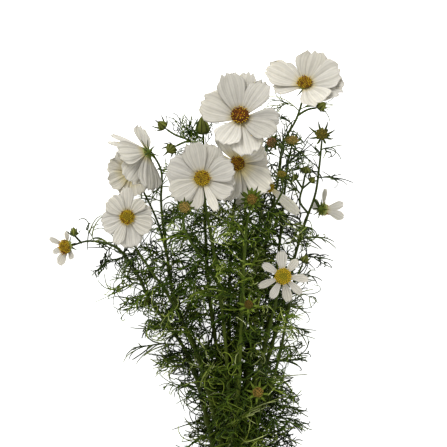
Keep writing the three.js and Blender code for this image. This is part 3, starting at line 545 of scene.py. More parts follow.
def petal_points(petal, u, v, plain=True, phase=0.0):
    """Points of a petal in its bloom's frame, u from -1 to 1 across and v from 0 to 1 outward.
    The plain petal is the CAD one, and the other has its fine pleats, waves and teeth too."""
    outline = np.interp(v * 6, np.arange(7), PETAL_OUTLINE) if plain else between(PETAL_OUTLINE, v)
    tooth = 0.07 * np.abs(u) ** 2.5 + 0.05 * (1 - np.cos(3 * math.pi * u)) * 0.5
    half = petal["half"] * outline
    pleat = 0.05 * petal["half"] * np.cos(3 * math.pi * u) * np.sin(math.pi * np.minimum(v, 0.95))
    lift = pleat + 0.12 * half * (u * u - 0.3)
    y = half * u
    if not plain:
        tooth = tooth + 0.05 * np.abs(u) ** 6 + 0.016 * np.sin(13 * u + 3 * phase)
        tooth = tooth + 0.01 * np.sin(29 * u + phase)
        fold = np.sin(math.pi * np.clip(v, 0.04, 0.97)) ** 0.6 * outline**0.5
        lift = lift + 0.06 * petal["crease"] * petal["half"] * pleats(u, v, phase) * fold
        frill = np.sin(8 * u + 5 * phase) * v**5 + 0.7 * np.sin(5 * v + 3 * u + phase) * v**2
        lift = lift + 0.07 * petal["half"] * frill
        lift = lift + 0.1 * petal["half"] * np.sin(phase) * u * v**2
        y = y + 0.09 * petal["half"] * np.cos(3 * phase) * v**2
    run = v * petal["length"] * (1 - tooth * v**3)
    rise = np.radians(petal["rise"] + petal["bend"] * v)
    middle = np.radians(petal["rise"] + petal["bend"] * v / 2)
    x = CLAW_START + run * np.cos(middle) - lift * np.sin(rise)
    z = petal["lift"] + run * np.sin(middle) + lift * np.cos(rise)
    return turned(x, y, z, petal["bearing"])


# ---------------------------------------------------------------- leaves, placed as the CAD source does
taken = {}
CELLS = 1024  # along each side of the grid, half of them on either side of the origin


def cell_numbers(cells):
    """One number for each cell of the grid."""
    x, y, z = np.moveaxis(cells + CELLS // 2, -1, 0)
    return ((x * CELLS + y) * CELLS + z).tolist()


def cells_near(points, reach):
    """The numbers of all cells that come within reach of the points."""
    low = np.floor((points - reach) / CELL).astype(np.int64)
    high = np.floor((points + reach) / CELL).astype(np.int64)
    most = (high - low).max(axis=0) + 1
    steps = np.stack(np.meshgrid(*[np.arange(m) for m in most], indexing="ij"), -1).reshape(-1, 3)
    cells = low[:, None] + steps
    return set(cell_numbers(cells[(cells <= high[:, None]).all(-1)]))


def claim(points, reach, owner):
    """Keep the cells near the points for their owner, where no one has them yet."""
    for cell in cells_near(points, reach):
        taken.setdefault(cell, owner)


class Leaf:
    """A leaf cut to threads: a drooping midrib and pairs of curved leaflets."""

    def __init__(self, root, tangent, bearing, size, draw):
        side = unit(np.cross(tangent, UPWARD))
        top = np.cross(side, tangent)
        turn = bearing + (draw() - 0.5) * 0.9
        out = side * math.cos(turn) + top * math.sin(turn)
        lean = math.radians(34 + 34 * draw())
        self.root = root
        self.start = tangent * math.cos(lean) + out * math.sin(lean)
        flank = unit(np.cross(tangent, out))
        tilt = (draw() - 0.5) * 1.6
        flank = flank * math.cos(tilt)
        self.flank = flank + np.cross(out, flank) * math.sin(tilt)
        self.length = size * (0.8 + 0.4 * draw())
        droop = ALONG * (-0.25 - 0.45 * draw())
        self.droop = droop + self.flank * (draw() - 0.5) * 0.7

    def on_rib(self, t):
        """The midrib's point at t, from 0 at the stem to 1 at its tip."""
        t = np.asarray(t, float)[..., None]
        points = self.root + self.start * self.length * t + self.droop * self.length * t**2
        return lifted(points)

    def ahead(self, t):
        return unit(self.on_rib(t + 0.05) - self.on_rib(t - 0.05))

    def leaflet(self, t, k, hand, s):
        """Points of the leaflet that leaves the midrib at t, s from 0 at the rib to 1 at its tip."""
        s = np.asarray(s, float)[..., None]
        ahead = self.ahead(t)
        reach = self.length * (0.46 - 0.3 * abs(t - 0.4) - 0.05 * k)
        way = unit(ahead * 0.66 + self.flank * 0.75 * hand)
        curve = (ahead * 0.3 + self.droop * 0.35) * reach
        return lifted(self.on_rib(t) + way * reach * s + curve * s**2)

    def samples(self):
        """Points along every thread, near enough together to leave no cube between them out."""
        count = math.ceil(self.length * 1.15 / CELL)
        points = [self.on_rib(np.arange(count + 1) / count)]
        for k, t in enumerate(LEAF_STATIONS):
            for hand in (1, -1):
                start, end = self.leaflet(t, k, hand, [0, 1])
                count = math.ceil(np.linalg.norm(end - start) * 1.1 * 1.15 / CELL)
                share = np.arange(count + 1) / count
                points.append(self.leaflet(t, k, hand, share))
                points.append(start + (end - start) * share[:, None])
        return np.concatenate(points)


def lifted(points):
    """The points, with those below the lowest that a leaf may reach raised to it."""
    points = points.copy()
    points[..., 2] = np.maximum(points[..., 2], FLOOR_CLEAR)
    return points


# How far stems, beyond their skin, shoots, heads and petals keep leaves of other stems off.
CLAIM_STEP = 1.5
STEM_CLAIM = 0.2
SHOOT_CLAIM = 1.8
HEAD_CLAIM = 7
PETAL_CLAIM = 2.2


def claim_all():
    for name, line in STEM_LINES.items():
        claim(walk(line, CLAIM_STEP), STEM_RADIUS + STEM_CLAIM, name)
    for shoot in SHOOTS:
        claim(walk(SHOOT_LINES[shoot["head"]], CLAIM_STEP), SHOOT_CLAIM, shoot["stem"])
    for name, head in HEADS.items():
        claim(np.stack([vec(head["at"]), neck_of(name)]), HEAD_CLAIM, name)
    across, outward = np.meshgrid(np.arange(-3, 4) / 3, np.arange(1, 10) / 9, indexing="ij")
    for name, bloom in BLOOMS.items():
        for petal in petals_of(bloom):
            points = put(petal_points(petal, across.ravel(), outward.ravel()), bloom)
            claim(points, PETAL_CLAIM, name)


def spread_at(y, share=1.0):
    """How far the foliage reaches to the left and right at y, or a share of that about its middle."""
    rows = vec(SPREAD)
    low, high = np.interp(y, rows[:, 0], rows[:, 1]), np.interp(y, rows[:, 0], rows[:, 2])
    middle = (low + high) / 2
    return middle + (low - middle) * share, middle + (high - middle) * share


def strays(points, share=1.0):
    """Whether any of the points lies outside the foliage's spread, or a share of it."""
    low, high = spread_at(points[:, 1], share)
    return bool(((points[:, 0] < low) | (points[:, 0] > high)).any())


def place_leaves():
    leaves = []
    for name, stem in STEMS.items():
        draw = draws(stem["seed"])
        line = walk(STEM_LINES[name], 1)
        line = line[line[:, 1] > 0]
        quarter = draw() * math.pi
        place = LEAF_START + draw() * LEAF_SPACING * 0.8
        while place < len(line) - LEAF_END:
            share = place / len(line)
            quarter += math.pi / 2
            for half in (0, math.pi):
                for attempt in range(LEAF_TRIES):
                    at = math.floor(place + (draw() - 0.5) * LEAF_SHIFT + 0.5)
                    tangent = unit(line[at + 2] - line[at - 2])
                    size = LEAF_SIZE * (1.1 - 0.5 * share)
                    leaf = Leaf(line[at], tangent, quarter + half + attempt * 0.7, size, draw)
                    samples = leaf.samples()
                    if strays(samples):
                        continue
                    cells = cells_near(samples, LEAF_REACH)
                    if any(taken.get(cell, name) != name for cell in cells):
                        continue
                    for cell in cells:
                        taken[cell] = name + str(len(leaves))
                    leaves.append((name, leaf))
                    break
            place += LEAF_SPACING
    return leaves


claim_all()
cad_leaves = place_leaves()


# ---------------------------------------------------------------- meshes
class Shape:
    """Points and faces gathered into one mesh, with a colour and a place in its pattern at each point."""

    def __init__(self):
        self.points, self.colours, self.patterns, self.faces = [], [], [], {3: [], 4: []}
        self.count = 0

    def add(self, points, faces, colour, pattern=(0.0, 0.0, 0.0)):
        points = np.asarray(points, float).reshape(-1, 3)
        self.points.append(points)
        self.colours.append(np.broadcast_to(np.asarray(colour, float), points.shape).reshape(-1, 3))
        self.patterns.append(np.broadcast_to(np.asarray(pattern, float), points.shape).reshape(-1, 3))
        for corners in faces:
            corners = np.asarray(corners, int)
            self.faces[corners.shape[1]].append(corners + self.count)
        self.count += len(points)


def grid_faces(rows, columns, closed, ring=False):
    """Quads between the rows of a grid of points, and on from its last column to its first if it is
    closed, and from its last row to its first if it is a ring."""
    row = np.arange(rows if ring else rows - 1)[:, None]
    low = row * columns
    high = (row + 1) % rows * columns
    column = np.arange(columns if closed else columns - 1)[None]
    after = (column + 1) % columns
    return np.stack([low + column, low + after, high + after, high + column], -1).reshape(-1, 4)


def tubes(shape, lines, radii, colours, reference, sides=3, ridge=0.0):
    """A batch of tubes with a closed root and a pointed tip. lines has each one's points, and
    reference a direction that is roughly square to each."""
    lines = np.asarray(lines, float)
    many, steps = lines.shape[:2]
    ahead = unit(np.gradient(lines, axis=1))
    side = unit(np.cross(ahead, np.broadcast_to(reference, (many, 3))[:, None]))
    other = np.cross(ahead, side)
    angle = 2 * math.pi * np.arange(sides) / sides
    round_side = side[:, :, None] * np.cos(angle)[:, None]
    round_other = other[:, :, None] * np.sin(angle)[:, None]
    grow = 1 + ridge * np.cos(angle * sides / 2)[:, None]
    rings = lines[:, :, None] + (round_side + round_other) * grow * np.asarray(radii)[..., None, None]
    each = (steps - 1) * sides + 1
    points = np.concatenate([rings[:, :-1].reshape(many, -1, 3), lines[:, -1:]], axis=1)
    colours = np.broadcast_to(np.asarray(colours, float), lines.shape)
    tints = np.concatenate([np.repeat(colours[:, :-1], sides, axis=1), colours[:, -1:]], axis=1)
    walls = grid_faces(steps - 1, sides, True)
    last = (steps - 2) * sides + np.arange(sides)
    after = (steps - 2) * sides + (np.arange(sides) + 1) % sides
    tip = np.stack([last, after, np.full(sides, each - 1)], -1)
    fan = np.arange(1, sides - 1)
    root = np.stack([np.zeros_like(fan), fan + 1, fan], -1)
    starts = (np.arange(many) * each)[:, None, None]
    triangles = np.concatenate([root, tip])
    faces = [(starts + walls).reshape(-1, 4), (starts + triangles).reshape(-1, 3)]
    shape.add(points.reshape(-1, 3), faces, tints.reshape(-1, 3))


def thin_solid(shape, middle, thick, colours, pattern=(0.0, 0.0, 0.0)):
    """A closed sheet round a grid of points, rows outward and columns across, as thick as given at
    each and sharp at its edge."""
    rows, columns = middle.shape[:2]
    normal = unit(np.cross(np.gradient(middle, axis=1), np.gradient(middle, axis=0)))
    half = normal * (np.asarray(thick) / 2)[..., None]
    edge = np.ones((rows, columns), bool)
    edge[1:-1, 1:-1] = False
    half[edge] = 0
    front = np.arange(rows * columns).reshape(rows, columns)
    back = front.copy()
    back[~edge] = rows * columns + np.arange((~edge).sum())
    points = np.concatenate([(middle + half).reshape(-1, 3), (middle - half)[~edge]])
    colours = np.broadcast_to(np.asarray(colours, float), middle.shape)
    tints = np.concatenate([colours.reshape(-1, 3), colours[~edge]])
    pattern = np.broadcast_to(np.asarray(pattern, float), middle.shape)
    places = np.concatenate([pattern.reshape(-1, 3), pattern[~edge]])
    quads = grid_faces(rows, columns, False)
    faces = np.concatenate([front.ravel()[quads], back.ravel()[quads][:, ::-1]])
    shape.add(points, [faces], tints, places)


def lathe(shape, profile, sides, head, colours, wave=0.0):
    """A solid turned round a head's axis. The profile's first and last points are on the axis."""
    profile = vec(profile)
    angle = 2 * math.pi * np.arange(sides) / sides
    walls = profile[1:-1]
    grow = 1 + wave * np.cos(angle * sides / 2)
    rings = np.stack(
        [
            walls[:, :1] * np.cos(angle) * grow,
            walls[:, :1] * np.sin(angle) * grow,
            np.repeat(walls[:, 1:], sides, axis=1),
        ],
        -1,
    ).reshape(-1, 3)
    ends = [(0, 0, profile[0, 1]), (0, 0, profile[-1, 1])]
    points = np.concatenate([rings, ends])
    first, last = len(rings), len(rings) + 1
    start = np.arange(sides)
    after = (start + 1) % sides
    top = (len(walls) - 1) * sides
    bottom_fan = np.stack([after, start, np.full(sides, first)], -1)
    top_fan = np.stack([top + start, top + after, np.full(sides, last)], -1)
    colours = np.broadcast_to(np.asarray(colours, float), (len(profile), 3))
    tints = np.concatenate([np.repeat(colours[1:-1], sides, axis=0), colours[:1], colours[-1:]])
    faces = [grid_faces(len(walls), sides, True), np.concatenate([bottom_fan, top_fan])]
    shape.add(put(points, head), faces, tints)


band_low, band_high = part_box("rubber_band")
band_centre = (vec(band_low) + vec(band_high)) / 2 / MM
SHIFT = band_centre - vec((0, 0, BAND_MIDDLE))  # from the bunch's own origin to the frame's


def make_piece(name, shape, material, slot, *nodes):
    """One object of the gathered faces, which rides on the body and stands for its CAD nodes."""
    points = (np.concatenate(shape.points) + SHIFT) * MM
    points[:, 2] = np.maximum(points[:, 2], 0)
    faces = [row for corners in (4, 3) for block in shape.faces[corners] for row in block.tolist()]
    mesh = bpy.data.meshes.new(name)
    mesh.from_pydata(points.tolist(), [], faces)
    mesh.polygons.foreach_set("use_smooth", np.ones(len(mesh.polygons), bool))
    tint = mesh.attributes.new("tint", "FLOAT_COLOR", "POINT")
    colours = np.concatenate(shape.colours)
    tint.data.foreach_set("color", np.concatenate([colours, np.ones((len(colours), 1))], 1).ravel())
    place = mesh.attributes.new("place", "FLOAT_VECTOR", "POINT")
    place.data.foreach_set("vector", np.concatenate(shape.patterns).ravel())
    mesh.materials.append(material)
    mesh.update()
    thing = bpy.data.objects.new(name, mesh)
    bpy.context.scene.collection.objects.link(thing)
    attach(thing, "root")
    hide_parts(*nodes)


# ---------------------------------------------------------------- heads
def smooth_step(t):
    t = np.clip(t, 0, 1)
    return t * t * (3 - 2 * t)


def bract(shape, head, bearing, path, width, thick, root_colour, tip_colour, cup=0.15):
    """A pointed green blade in a head's frame, along a path of (radius, height) points."""
    rows, columns = 7, 5
    s = np.linspace(0, 1, rows)
    line = spline(np.column_stack([vec(path), np.zeros(len(path))]), s)
    broad = width * np.interp(s, [0, 0.25, 0.55, 0.85, 1], [0.7, 1.0, 0.72, 0.3, 0.04])[:, None]
    u = np.linspace(-1, 1, columns)
    x = np.repeat(line[:, :1], columns, axis=1)
    y = broad * u / 2
    z = line[:, 1:2] + cup * broad * u**2
    points = turned(x, y, z, bearing)
    mix = s[:, None, None] ** 1.5
    colours = np.broadcast_to(root_colour * (1 - mix) + tip_colour * mix, points.shape)
    thin_solid(shape, put(points, head), np.full((rows, columns), thick), colours)


def add_cup(shape, head, rim, top, draw):
    """The green cup between a stem's end and its head."""
    foot = CUP_TOP - CUP_TALL
    profile = [
        (0, foot - 0.4), (0.9, foot - 0.2), (1.15, foot + 1.2), (1.7, foot + 2.3),
        (rim * 0.72, foot + 3.4), (rim, top - 0.7), (rim * 0.97, top), (0, top),
    ]
    green = BRACT_GREEN * (0.9 + 0.2 * draw())
    lathe(shape, profile, 20, head, green, wave=0.03)


def bloom_green(shape, name, draw):
    """Cup, eight narrow outer bracts and eight broad inner ones under a bloom's petals."""
    bloom = BLOOMS[name]
    lowest = min(bloom.get("rises", [bloom["rise"] + min(bloom["bend"], 0)]))
    fall = math.radians(lowest - 18)
    reach = 5 + 0.17 * bloom["length"]
    tip = (3.4 + reach * math.cos(fall), CUP_TOP - 0.4 + reach * math.sin(fall))
    rise = math.sin(math.radians(lowest - 7))
    inner = [(2.4, CUP_TOP - 0.7), (5, CUP_TOP - 0.5 + 2.2 * rise), (7.6, CUP_TOP - 0.5 + 4.8 * rise)]
    add_cup(shape, bloom, 3.8, CUP_TOP, draw)
    turn = draw() * 45
    for k in range(8):
        bearing = turn + 45 * k + (draw() - 0.5) * 8
        far = 0.85 + 0.2 * draw()
        end = (3.0 + (tip[0] - 3.0) * far, tip[1] - 0.6 * draw())
        middle = (3.0 + (end[0] - 3.0) * 0.45, CUP_TOP - 1.3 + (end[1] - CUP_TOP + 1.3) * 0.35)
        outer = [(2.6, CUP_TOP - 1.6), middle, end]
        bract(shape, bloom, bearing, outer, 2.2, 0.5, BRACT_GREEN, BRACT_TIP)
        bract(shape, bloom, bearing + 22.5, inner, 3.4, 0.4, INNER_BRACT, INNER_BRACT * 0.8)


def seed_green(shape, name, draw):
    """Cup and long pointed bracts of a head whose petals have dropped."""
    head = SEED_HEADS[name]
    fresh = head.get("fresh", 1)
    ring = head.get("ring", 1.38)
    rows = head.get("rows", 1)
    rise = math.radians(SEED_BRACT_RISE)
    add_cup(shape, head, 4.6, CUP_TOP, draw)
    turn = draw() * 45
    for k in range(8):
        bearing = turn + 45 * k + (draw() - 0.5) * 10
        far = head["star"] * (0.85 + 0.2 * draw()) * fresh
        lean = rise + (draw() - 0.5) * 0.25
        end = (3.6 + far * math.cos(lean), CUP_TOP + far * math.sin(lean))
        middle = (3.8 + far * 0.5, CUP_TOP - 0.6 + far * 0.15)
        outer = [(3, CUP_TOP - 1.2), middle, end]
        bract(shape, head, bearing, outer, 2.6, 0.5, BRACT_GREEN * 1.1 * fresh**2, BRACT_TIP * fresh**4)
        rim = CUP_TOP + head["disc"] * 0.25
        for row in range(rows):
            edge = head["disc"] * ring * (0.85 + 0.25 * draw()) * (1 - 0.16 * row)
            height = rim + head["dome"] * (0.2 + 0.25 * row)
            inner = [(3, CUP_TOP - 0.6), (edge * 0.8, height - 0.4), (edge, height)]
            tint = BRACT_GREEN * (0.6 + 0.8 * draw())
            aside = bearing + 22.5 + 45 * row / rows + 14 * (draw() - 0.5)
            bract(shape, head, aside, inner, 3.4 + 0.6 / rows, 0.4, tint * 1.2, tint * 0.7)


def bud_green(shape, name, draw):
    """A closed bud: its scales meet at the top, and outer bracts stand round it."""
    bud = BUDS[name]
    radius, tall = bud["radius"], bud["tall"]
    profile = [
        (0, -1.2), (0.95, -1), (radius * 0.55, 0.1), (radius * 0.86, tall * 0.16),
        (radius * 0.92, tall * 0.32), (radius * 0.68, tall * 0.58), (radius * 0.36, tall * 0.8),
        (radius * 0.12, tall * 0.96), (0, tall),
    ]
    lathe(shape, profile, 16, bud, BUD_GREEN * 0.35)
    turn = draw() * 45
    for k in range(8):
        bearing = turn + 45 * k
        scale = [
            (radius * 0.45, 0.1), (radius * 1.02, tall * 0.26), (radius * 0.74, tall * 0.6),
            (radius * 0.08, tall * 1.02),
        ]
        tint = BUD_GREEN * (0.6 + 0.7 * draw())
        bract(shape, bud, bearing, scale, radius * 0.8, 0.5, tint * 0.7, tint, cup=-0.1)
        far = bud["star"] * (0.8 + 0.5 * draw())
        end = (radius * 0.7 + far * 0.55, far * 0.72)
        middle = (radius * 1.15 + far * 0.12, far * 0.28)
        outer = [(radius * 0.5, -0.2), middle, end]
        bract(shape, bud, bearing + 22.5, outer, 2.6, 0.45, BRACT_GREEN * 0.8, BRACT_TIP)


# A floret: rings of (radius, height) up its own axis, with the shade of each from foot to top.
FLORET = [(0.42, 0.0), (0.5, 0.45), (0.36, 0.8), (0.55, 1.0), (0.16, 1.12)]
FLORET_SIDES = 5
DISC_FLORETS = 95
SEED_FLORETS = 80


def florets(shape, head, radius, tall, low, count, size, look_of, draw):
    """Florets stood on a dome in a spiral. look_of gives the height and shades of each from its place,
    0 in the middle and 1 at the rim."""
    golden = math.pi * (3 - math.sqrt(5))
    angle = 2 * math.pi * np.arange(FLORET_SIDES) / FLORET_SIDES
    profile = vec(FLORET)
    for k in range(count):
        share = math.sqrt((k + 0.5) / count)
        turn = k * golden
        r = radius * share
        height = low + tall * math.sqrt(max(0.0, 1 - 0.92 * share**2)) * 0.92
        out = vec((math.cos(turn), math.sin(turn), 0))
        axis = unit(out * 0.85 * share**2 + vec((0, 0, 1)) + (vec((draw(), draw(), draw())) - 0.5) * 0.3)
        side = unit(np.cross(axis, ACROSS + 0.1 * out))
        other = np.cross(axis, side)
        long, tints = look_of(share, draw)
        wide = size * (0.9 + 0.2 * draw())
        root = vec((r * math.cos(turn), r * math.sin(turn), height - 0.6))
        circle = side * np.cos(angle)[:, None] + other * np.sin(angle)[:, None]
        rings = root + profile[:, None, :1] * wide * circle + profile[:, None, 1:] * long * axis
        points = np.concatenate([rings.reshape(-1, 3), [rings[-1].mean(0) + axis * 0.1 * long]])
        top = (len(profile) - 1) * FLORET_SIDES
        start = np.arange(FLORET_SIDES)
        after = (start + 1) % FLORET_SIDES
        fan = np.stack([top + start, top + after, np.full(FLORET_SIDES, len(points) - 1)], -1)
        fan_root = np.stack([np.zeros(3, int), [2, 3, 4], [1, 2, 3]], -1)
        colours = np.concatenate([np.repeat(tints, FLORET_SIDES, axis=0), tints[-1:]])
        faces = [grid_faces(len(profile), FLORET_SIDES, True), np.concatenate([fan, fan_root])]
        shape.add(put(points, head), faces, colours)


def floret_dome(head, radius, tall, rise, base, sides, ground, size, look_of, draw):
    """A dome with a flat foot at base, whose rim clears petals or bracts that rise, and its florets.
    size holds how many florets there are, how wide each is and how much of the dome they cover."""
    shape = Shape()
    foot = min(4.4, radius * 0.85)
    rim = (radius - foot) * math.tan(math.radians(rise + LAYER_TILT + 5))
    low = base + rim
    profile = [
        (0, base), (foot, base), (radius * 0.96, low + 0.1 * tall), (radius * 0.9, low + 0.42 * tall),
        (radius * 0.6, low + 0.73 * tall), (radius * 0.3, low + 0.86 * tall), (0, low + 0.89 * tall),
    ]
    lathe(shape, profile, sides, head, ground)
    count, wide, share = size
    florets(shape, head, radius * share, tall, low, count, wide, look_of, draw)
    return shape


def disc_shape(name, draw):
    """A bloom's disc: closed florets in the middle, and open ones with their anthers up round them."""
    bloom = BLOOMS[name]
    radius, age = bloom["disc"], bloom["age"]
    ground = FLORET_GREEN * 0.55 * (1 - age) + ANTHER_BROWN * 1.1 * age

    # Each floret is painted darker towards its foot, as the shade between the florets.
    def look_of(share, draw):
        inside = FLORET_GREEN * (1 - age) + ANTHER_ORANGE * age
        young = (inside if share < 0.45 else FLORET_YELLOW) * (0.85 + 0.3 * draw())
        if draw() > age * np.interp(share, [0, 0.4, 0.6, 0.9, 1], [0.15, 0.3, 1, 0.85, 0.3]):
            dark = ANTHER_ORANGE * 0.8 if draw() < 0.6 * age else young * 0.7
            return 1.4 + 0.5 * draw(), np.stack([young * 0.45, young * 0.65, dark, young, young * 1.05])
        tip = FLORET_YELLOW if draw() < 0.5 - 0.15 * age else ANTHER_BROWN * 1.3
        shades = [young * 0.5, ANTHER_ORANGE, ANTHER_BROWN, tip, tip * 0.9]
        return 2.1 + 1.1 * draw(), np.stack(shades)

    base = HUB_THICK / 2 + GAP
    size = (DISC_FLORETS, radius / 8.5, 0.93)
    return floret_dome(bloom, radius, radius * 0.4, bloom["rise"], base, 28, ground, size, look_of, draw)


def seed_shape(name, draw):
    """A ripening head: a dome of dried florets and the tips of seeds."""
    head = SEED_HEADS[name]
    radius, tall = head["disc"], max(1.5, head["dome"] - 1.8)
    ripe = srgb(*head["ripe"])

    def look_of(share, draw):
        tint = [ripe * 1.2, ripe * 0.65, ripe, ripe * 0.6 + INNER_BRACT * 0.4][int(draw() * 3.99)]
        # Each floret's foot is painted dark green, as the shade that falls among the florets.
        shades = np.stack([BRACT_GREEN * 0.5, BRACT_GREEN * 0.8, tint * 0.8, tint, tint * 1.1])
        return 0.9 + 0.7 * draw(), shades * (0.75 + 0.5 * draw())

    size = (SEED_FLORETS, radius / 7.4, 0.92)
    ground = BRACT_GREEN * 0.6
    base = HUB_THICK / 2 + GAP - HUB_THICK
    return floret_dome(head, radius, tall, SEED_BRACT_RISE, base, 24, ground, size, look_of, draw)


# ---------------------------------------------------------------- blooms
PETAL_COLUMNS = 25
PETAL_ROWS = 16


def petals_shape(name, draw):
    """The ring of pleated petals on their pale hub."""
    bloom = BLOOMS[name]
    shape = Shape()
    half = HUB_THICK / 2
    profile = [
        (0, -half), (HUB_RADIUS * 0.8, -half), (HUB_RADIUS, -half * 0.4), (HUB_RADIUS, half * 0.4),
        (HUB_RADIUS * 0.8, half), (0, half),
    ]
    lathe(shape, profile, 28, bloom, HUB_PALE)
    u, v = np.meshgrid(np.linspace(-1, 1, PETAL_COLUMNS), np.linspace(0, 1, PETAL_ROWS))
    for petal in petals_of(bloom):
        petal["bearing"] += (draw() - 0.5) * 3 + petal["aside"]
        petal["length"] *= 0.98 + 0.03 * draw()
        petal["half"] *= 1.06
        petal["bend"] += (draw() - 0.5) * 6
        phase = draw() * 2 * math.pi
        middle = put(petal_points(petal, u, v, plain=False, phase=phase).reshape(-1, 3), bloom)
        middle = middle.reshape(u.shape + (3,))
        middle[..., 2] = np.maximum(middle[..., 2], 0.35)
        thick = 0.5 - 0.25 * v - 0.1 * np.abs(u)
        tinge = 0.1 * draw()
        claw = np.maximum(smooth_step(1 - v / bloom.get("claw", 0.3)), tinge)[..., None]
        # Painted shade in the grooves of the pleats and a painted highlight on their ridges, deeper with
        # crease, then each petal's painted light or shade from its bloom's shades and a random tone.
        groove = (0.5 - 0.5 * pleats(u, v, phase)) * np.interp(v, [0, 0.3, 0.8, 1], [1, 1, 0.55, 0.3])
        shade = 1.05 - 0.26 * petal["crease"] * groove[..., None]
        shade = shade * petal["shade"] * (0.94 + 0.1 * draw())
        colours = (PETAL_WHITE * (1 - claw) + PETAL_CLAW * claw) * shade
        pattern = np.stack([u, v, np.full_like(u, phase)], -1)
        thin_solid(shape, middle, thick, colours, pattern)
    return shape


# ---------------------------------------------------------------- stems, shoots and leaves
def smooth_line(line, step):
    """The curve through a CAD centre line, at small even steps."""
    count = max(6, math.ceil(np.linalg.norm(np.diff(line, axis=0), axis=1).sum() / step))
    return spline(line, np.arange(count + 1) / count)


def painted_depth_shade(points):
    """Painted shade low in the bunch and painted light near its top, as a factor on the green."""
    return np.interp(points[..., 2], [0, 25, 60, 95], [0.36, 0.64, 1.05, 1.25])[..., None]


def add_bar(shape, line, root_radius, tip_radius, sides, root_colour, tip_colour, swells=()):
    fine = smooth_line(line, 5)
    share = np.linspace(0, 1, len(fine))
    radii = root_radius + (tip_radius - root_radius) * share
    for place in swells:
        near = np.linalg.norm(fine - place, axis=1)
        radii = radii * (1 + 0.28 * np.exp(-((near / 4) ** 2)))
    mix = share[:, None]
    # The stem's greens carry painted shade low in the bunch and painted light near its top.
    colours = (root_colour * (1 - mix) + tip_colour * mix) * painted_depth_shade(fine)
    reference = UPWARD if abs(unit(line[-1] - line[0])[2]) < 0.8 else ACROSS
    tubes(shape, fine[None], radii[None], colours[None], reference, sides, ridge=0.035)


# ---------------------------------------------------------------- leaves cut to threads
THREAD_STEPS = 9
FOLIAGE_TOP = 130
LOW_PAIR = 0.14  # one more pair of leaflets, nearer the stem than the CAD leaf's first
HEAD_NAMES = set(BLOOMS) | set(SEED_HEADS)


def leaf_green(mix):
    """From the darkest green at 0 to the palest at 1."""
    last = len(LEAF_GREENS) - 1
    place = np.clip(mix, 0, 0.92) * last
    return np.stack([np.interp(place, range(last + 1), shade) for shade in vec(LEAF_GREENS).T], -1)


def curling(starts, ways, bends, longs, turns, hooks):
    """Threads of some lengths that set out along ways and turn towards bends, evenly by turns and
    more sharply further out by hooks, in radians."""
    s = np.linspace(0, 1, THREAD_STEPS)
    bends = unit(bends - ways * (bends * ways).sum(-1, keepdims=True))
    angle = turns[:, None] * s + hooks[:, None] * s**2
    heading = ways[:, None] * np.cos(angle)[..., None] + bends[:, None] * np.sin(angle)[..., None]
    steps = (heading[:, 1:] + heading[:, :-1]) / 2 * longs[:, None, None] / (THREAD_STEPS - 1)
    run = np.concatenate([np.zeros_like(steps[:, :1]), np.cumsum(steps, axis=1)], axis=1)
    return lifted(starts[:, None] + run)


def meets_a_head(line):
    """Whether a thread runs into a bloom or a seed head, or in front of one seen from above."""
    cells = cell_numbers(np.floor(line / CELL).astype(np.int64))
    return any(taken.get(cell) in HEAD_NAMES for cell in cells) or covers_a_head(line)


def petal_spots(bloom, petal):
    """Points along the middle of a petal."""
    v = np.linspace(0.1, 1, 9)
    return put(petal_points(petal, 0 * v, v), bloom)


LONE_PETAL = petal_spots(BLOOMS["bloom_low"], petals_of(BLOOMS["bloom_low"])[0])
LONE_PETAL_CLEAR = 8


def covers_a_head(points):
    offset = points[:, None] - LONE_PETAL
    if ((np.hypot(offset[..., 0], offset[..., 1]) < LONE_PETAL_CLEAR) & (offset[..., 2] > -4)).any():
        return True
    for name in HEAD_NAMES:
        head = HEADS[name]
        reach = head["length"] * head.get("clear", 0.92) if name in BLOOMS else head["disc"] + 2
        offset = points - vec(head["at"])
        if ((np.hypot(offset[:, 0], offset[:, 1]) < reach) & (offset[:, 2] > -4)).any():
            return True
    return False


def any_way(draw):
    return vec((draw(), draw(), draw())) * 2 - 1


def add_threads(shape, threads, radii, mixes, normal):
    """Threads that keep clear of the heads, as tapering tubes."""
    low_enough = threads[..., 2].max(axis=1) < FOLIAGE_TOP
    kept = [k for k, line in enumerate(threads) if low_enough[k] and not meets_a_head(line)]
    if kept:
        lines = threads[kept]
        taper = radii[kept, None] * np.linspace(1, 0.6, THREAD_STEPS)
        taper = taper * np.interp(lines[:, :1, 2], [20, 70], [1.5, 1])
        fade = mixes[kept, None] + np.linspace(-0.06, 0.1, THREAD_STEPS)
        # The threads' greens carry painted shade low in the bunch and painted light near its top.
        tubes(shape, lines, taper, leaf_green(fade) * painted_depth_shade(lines), normal)


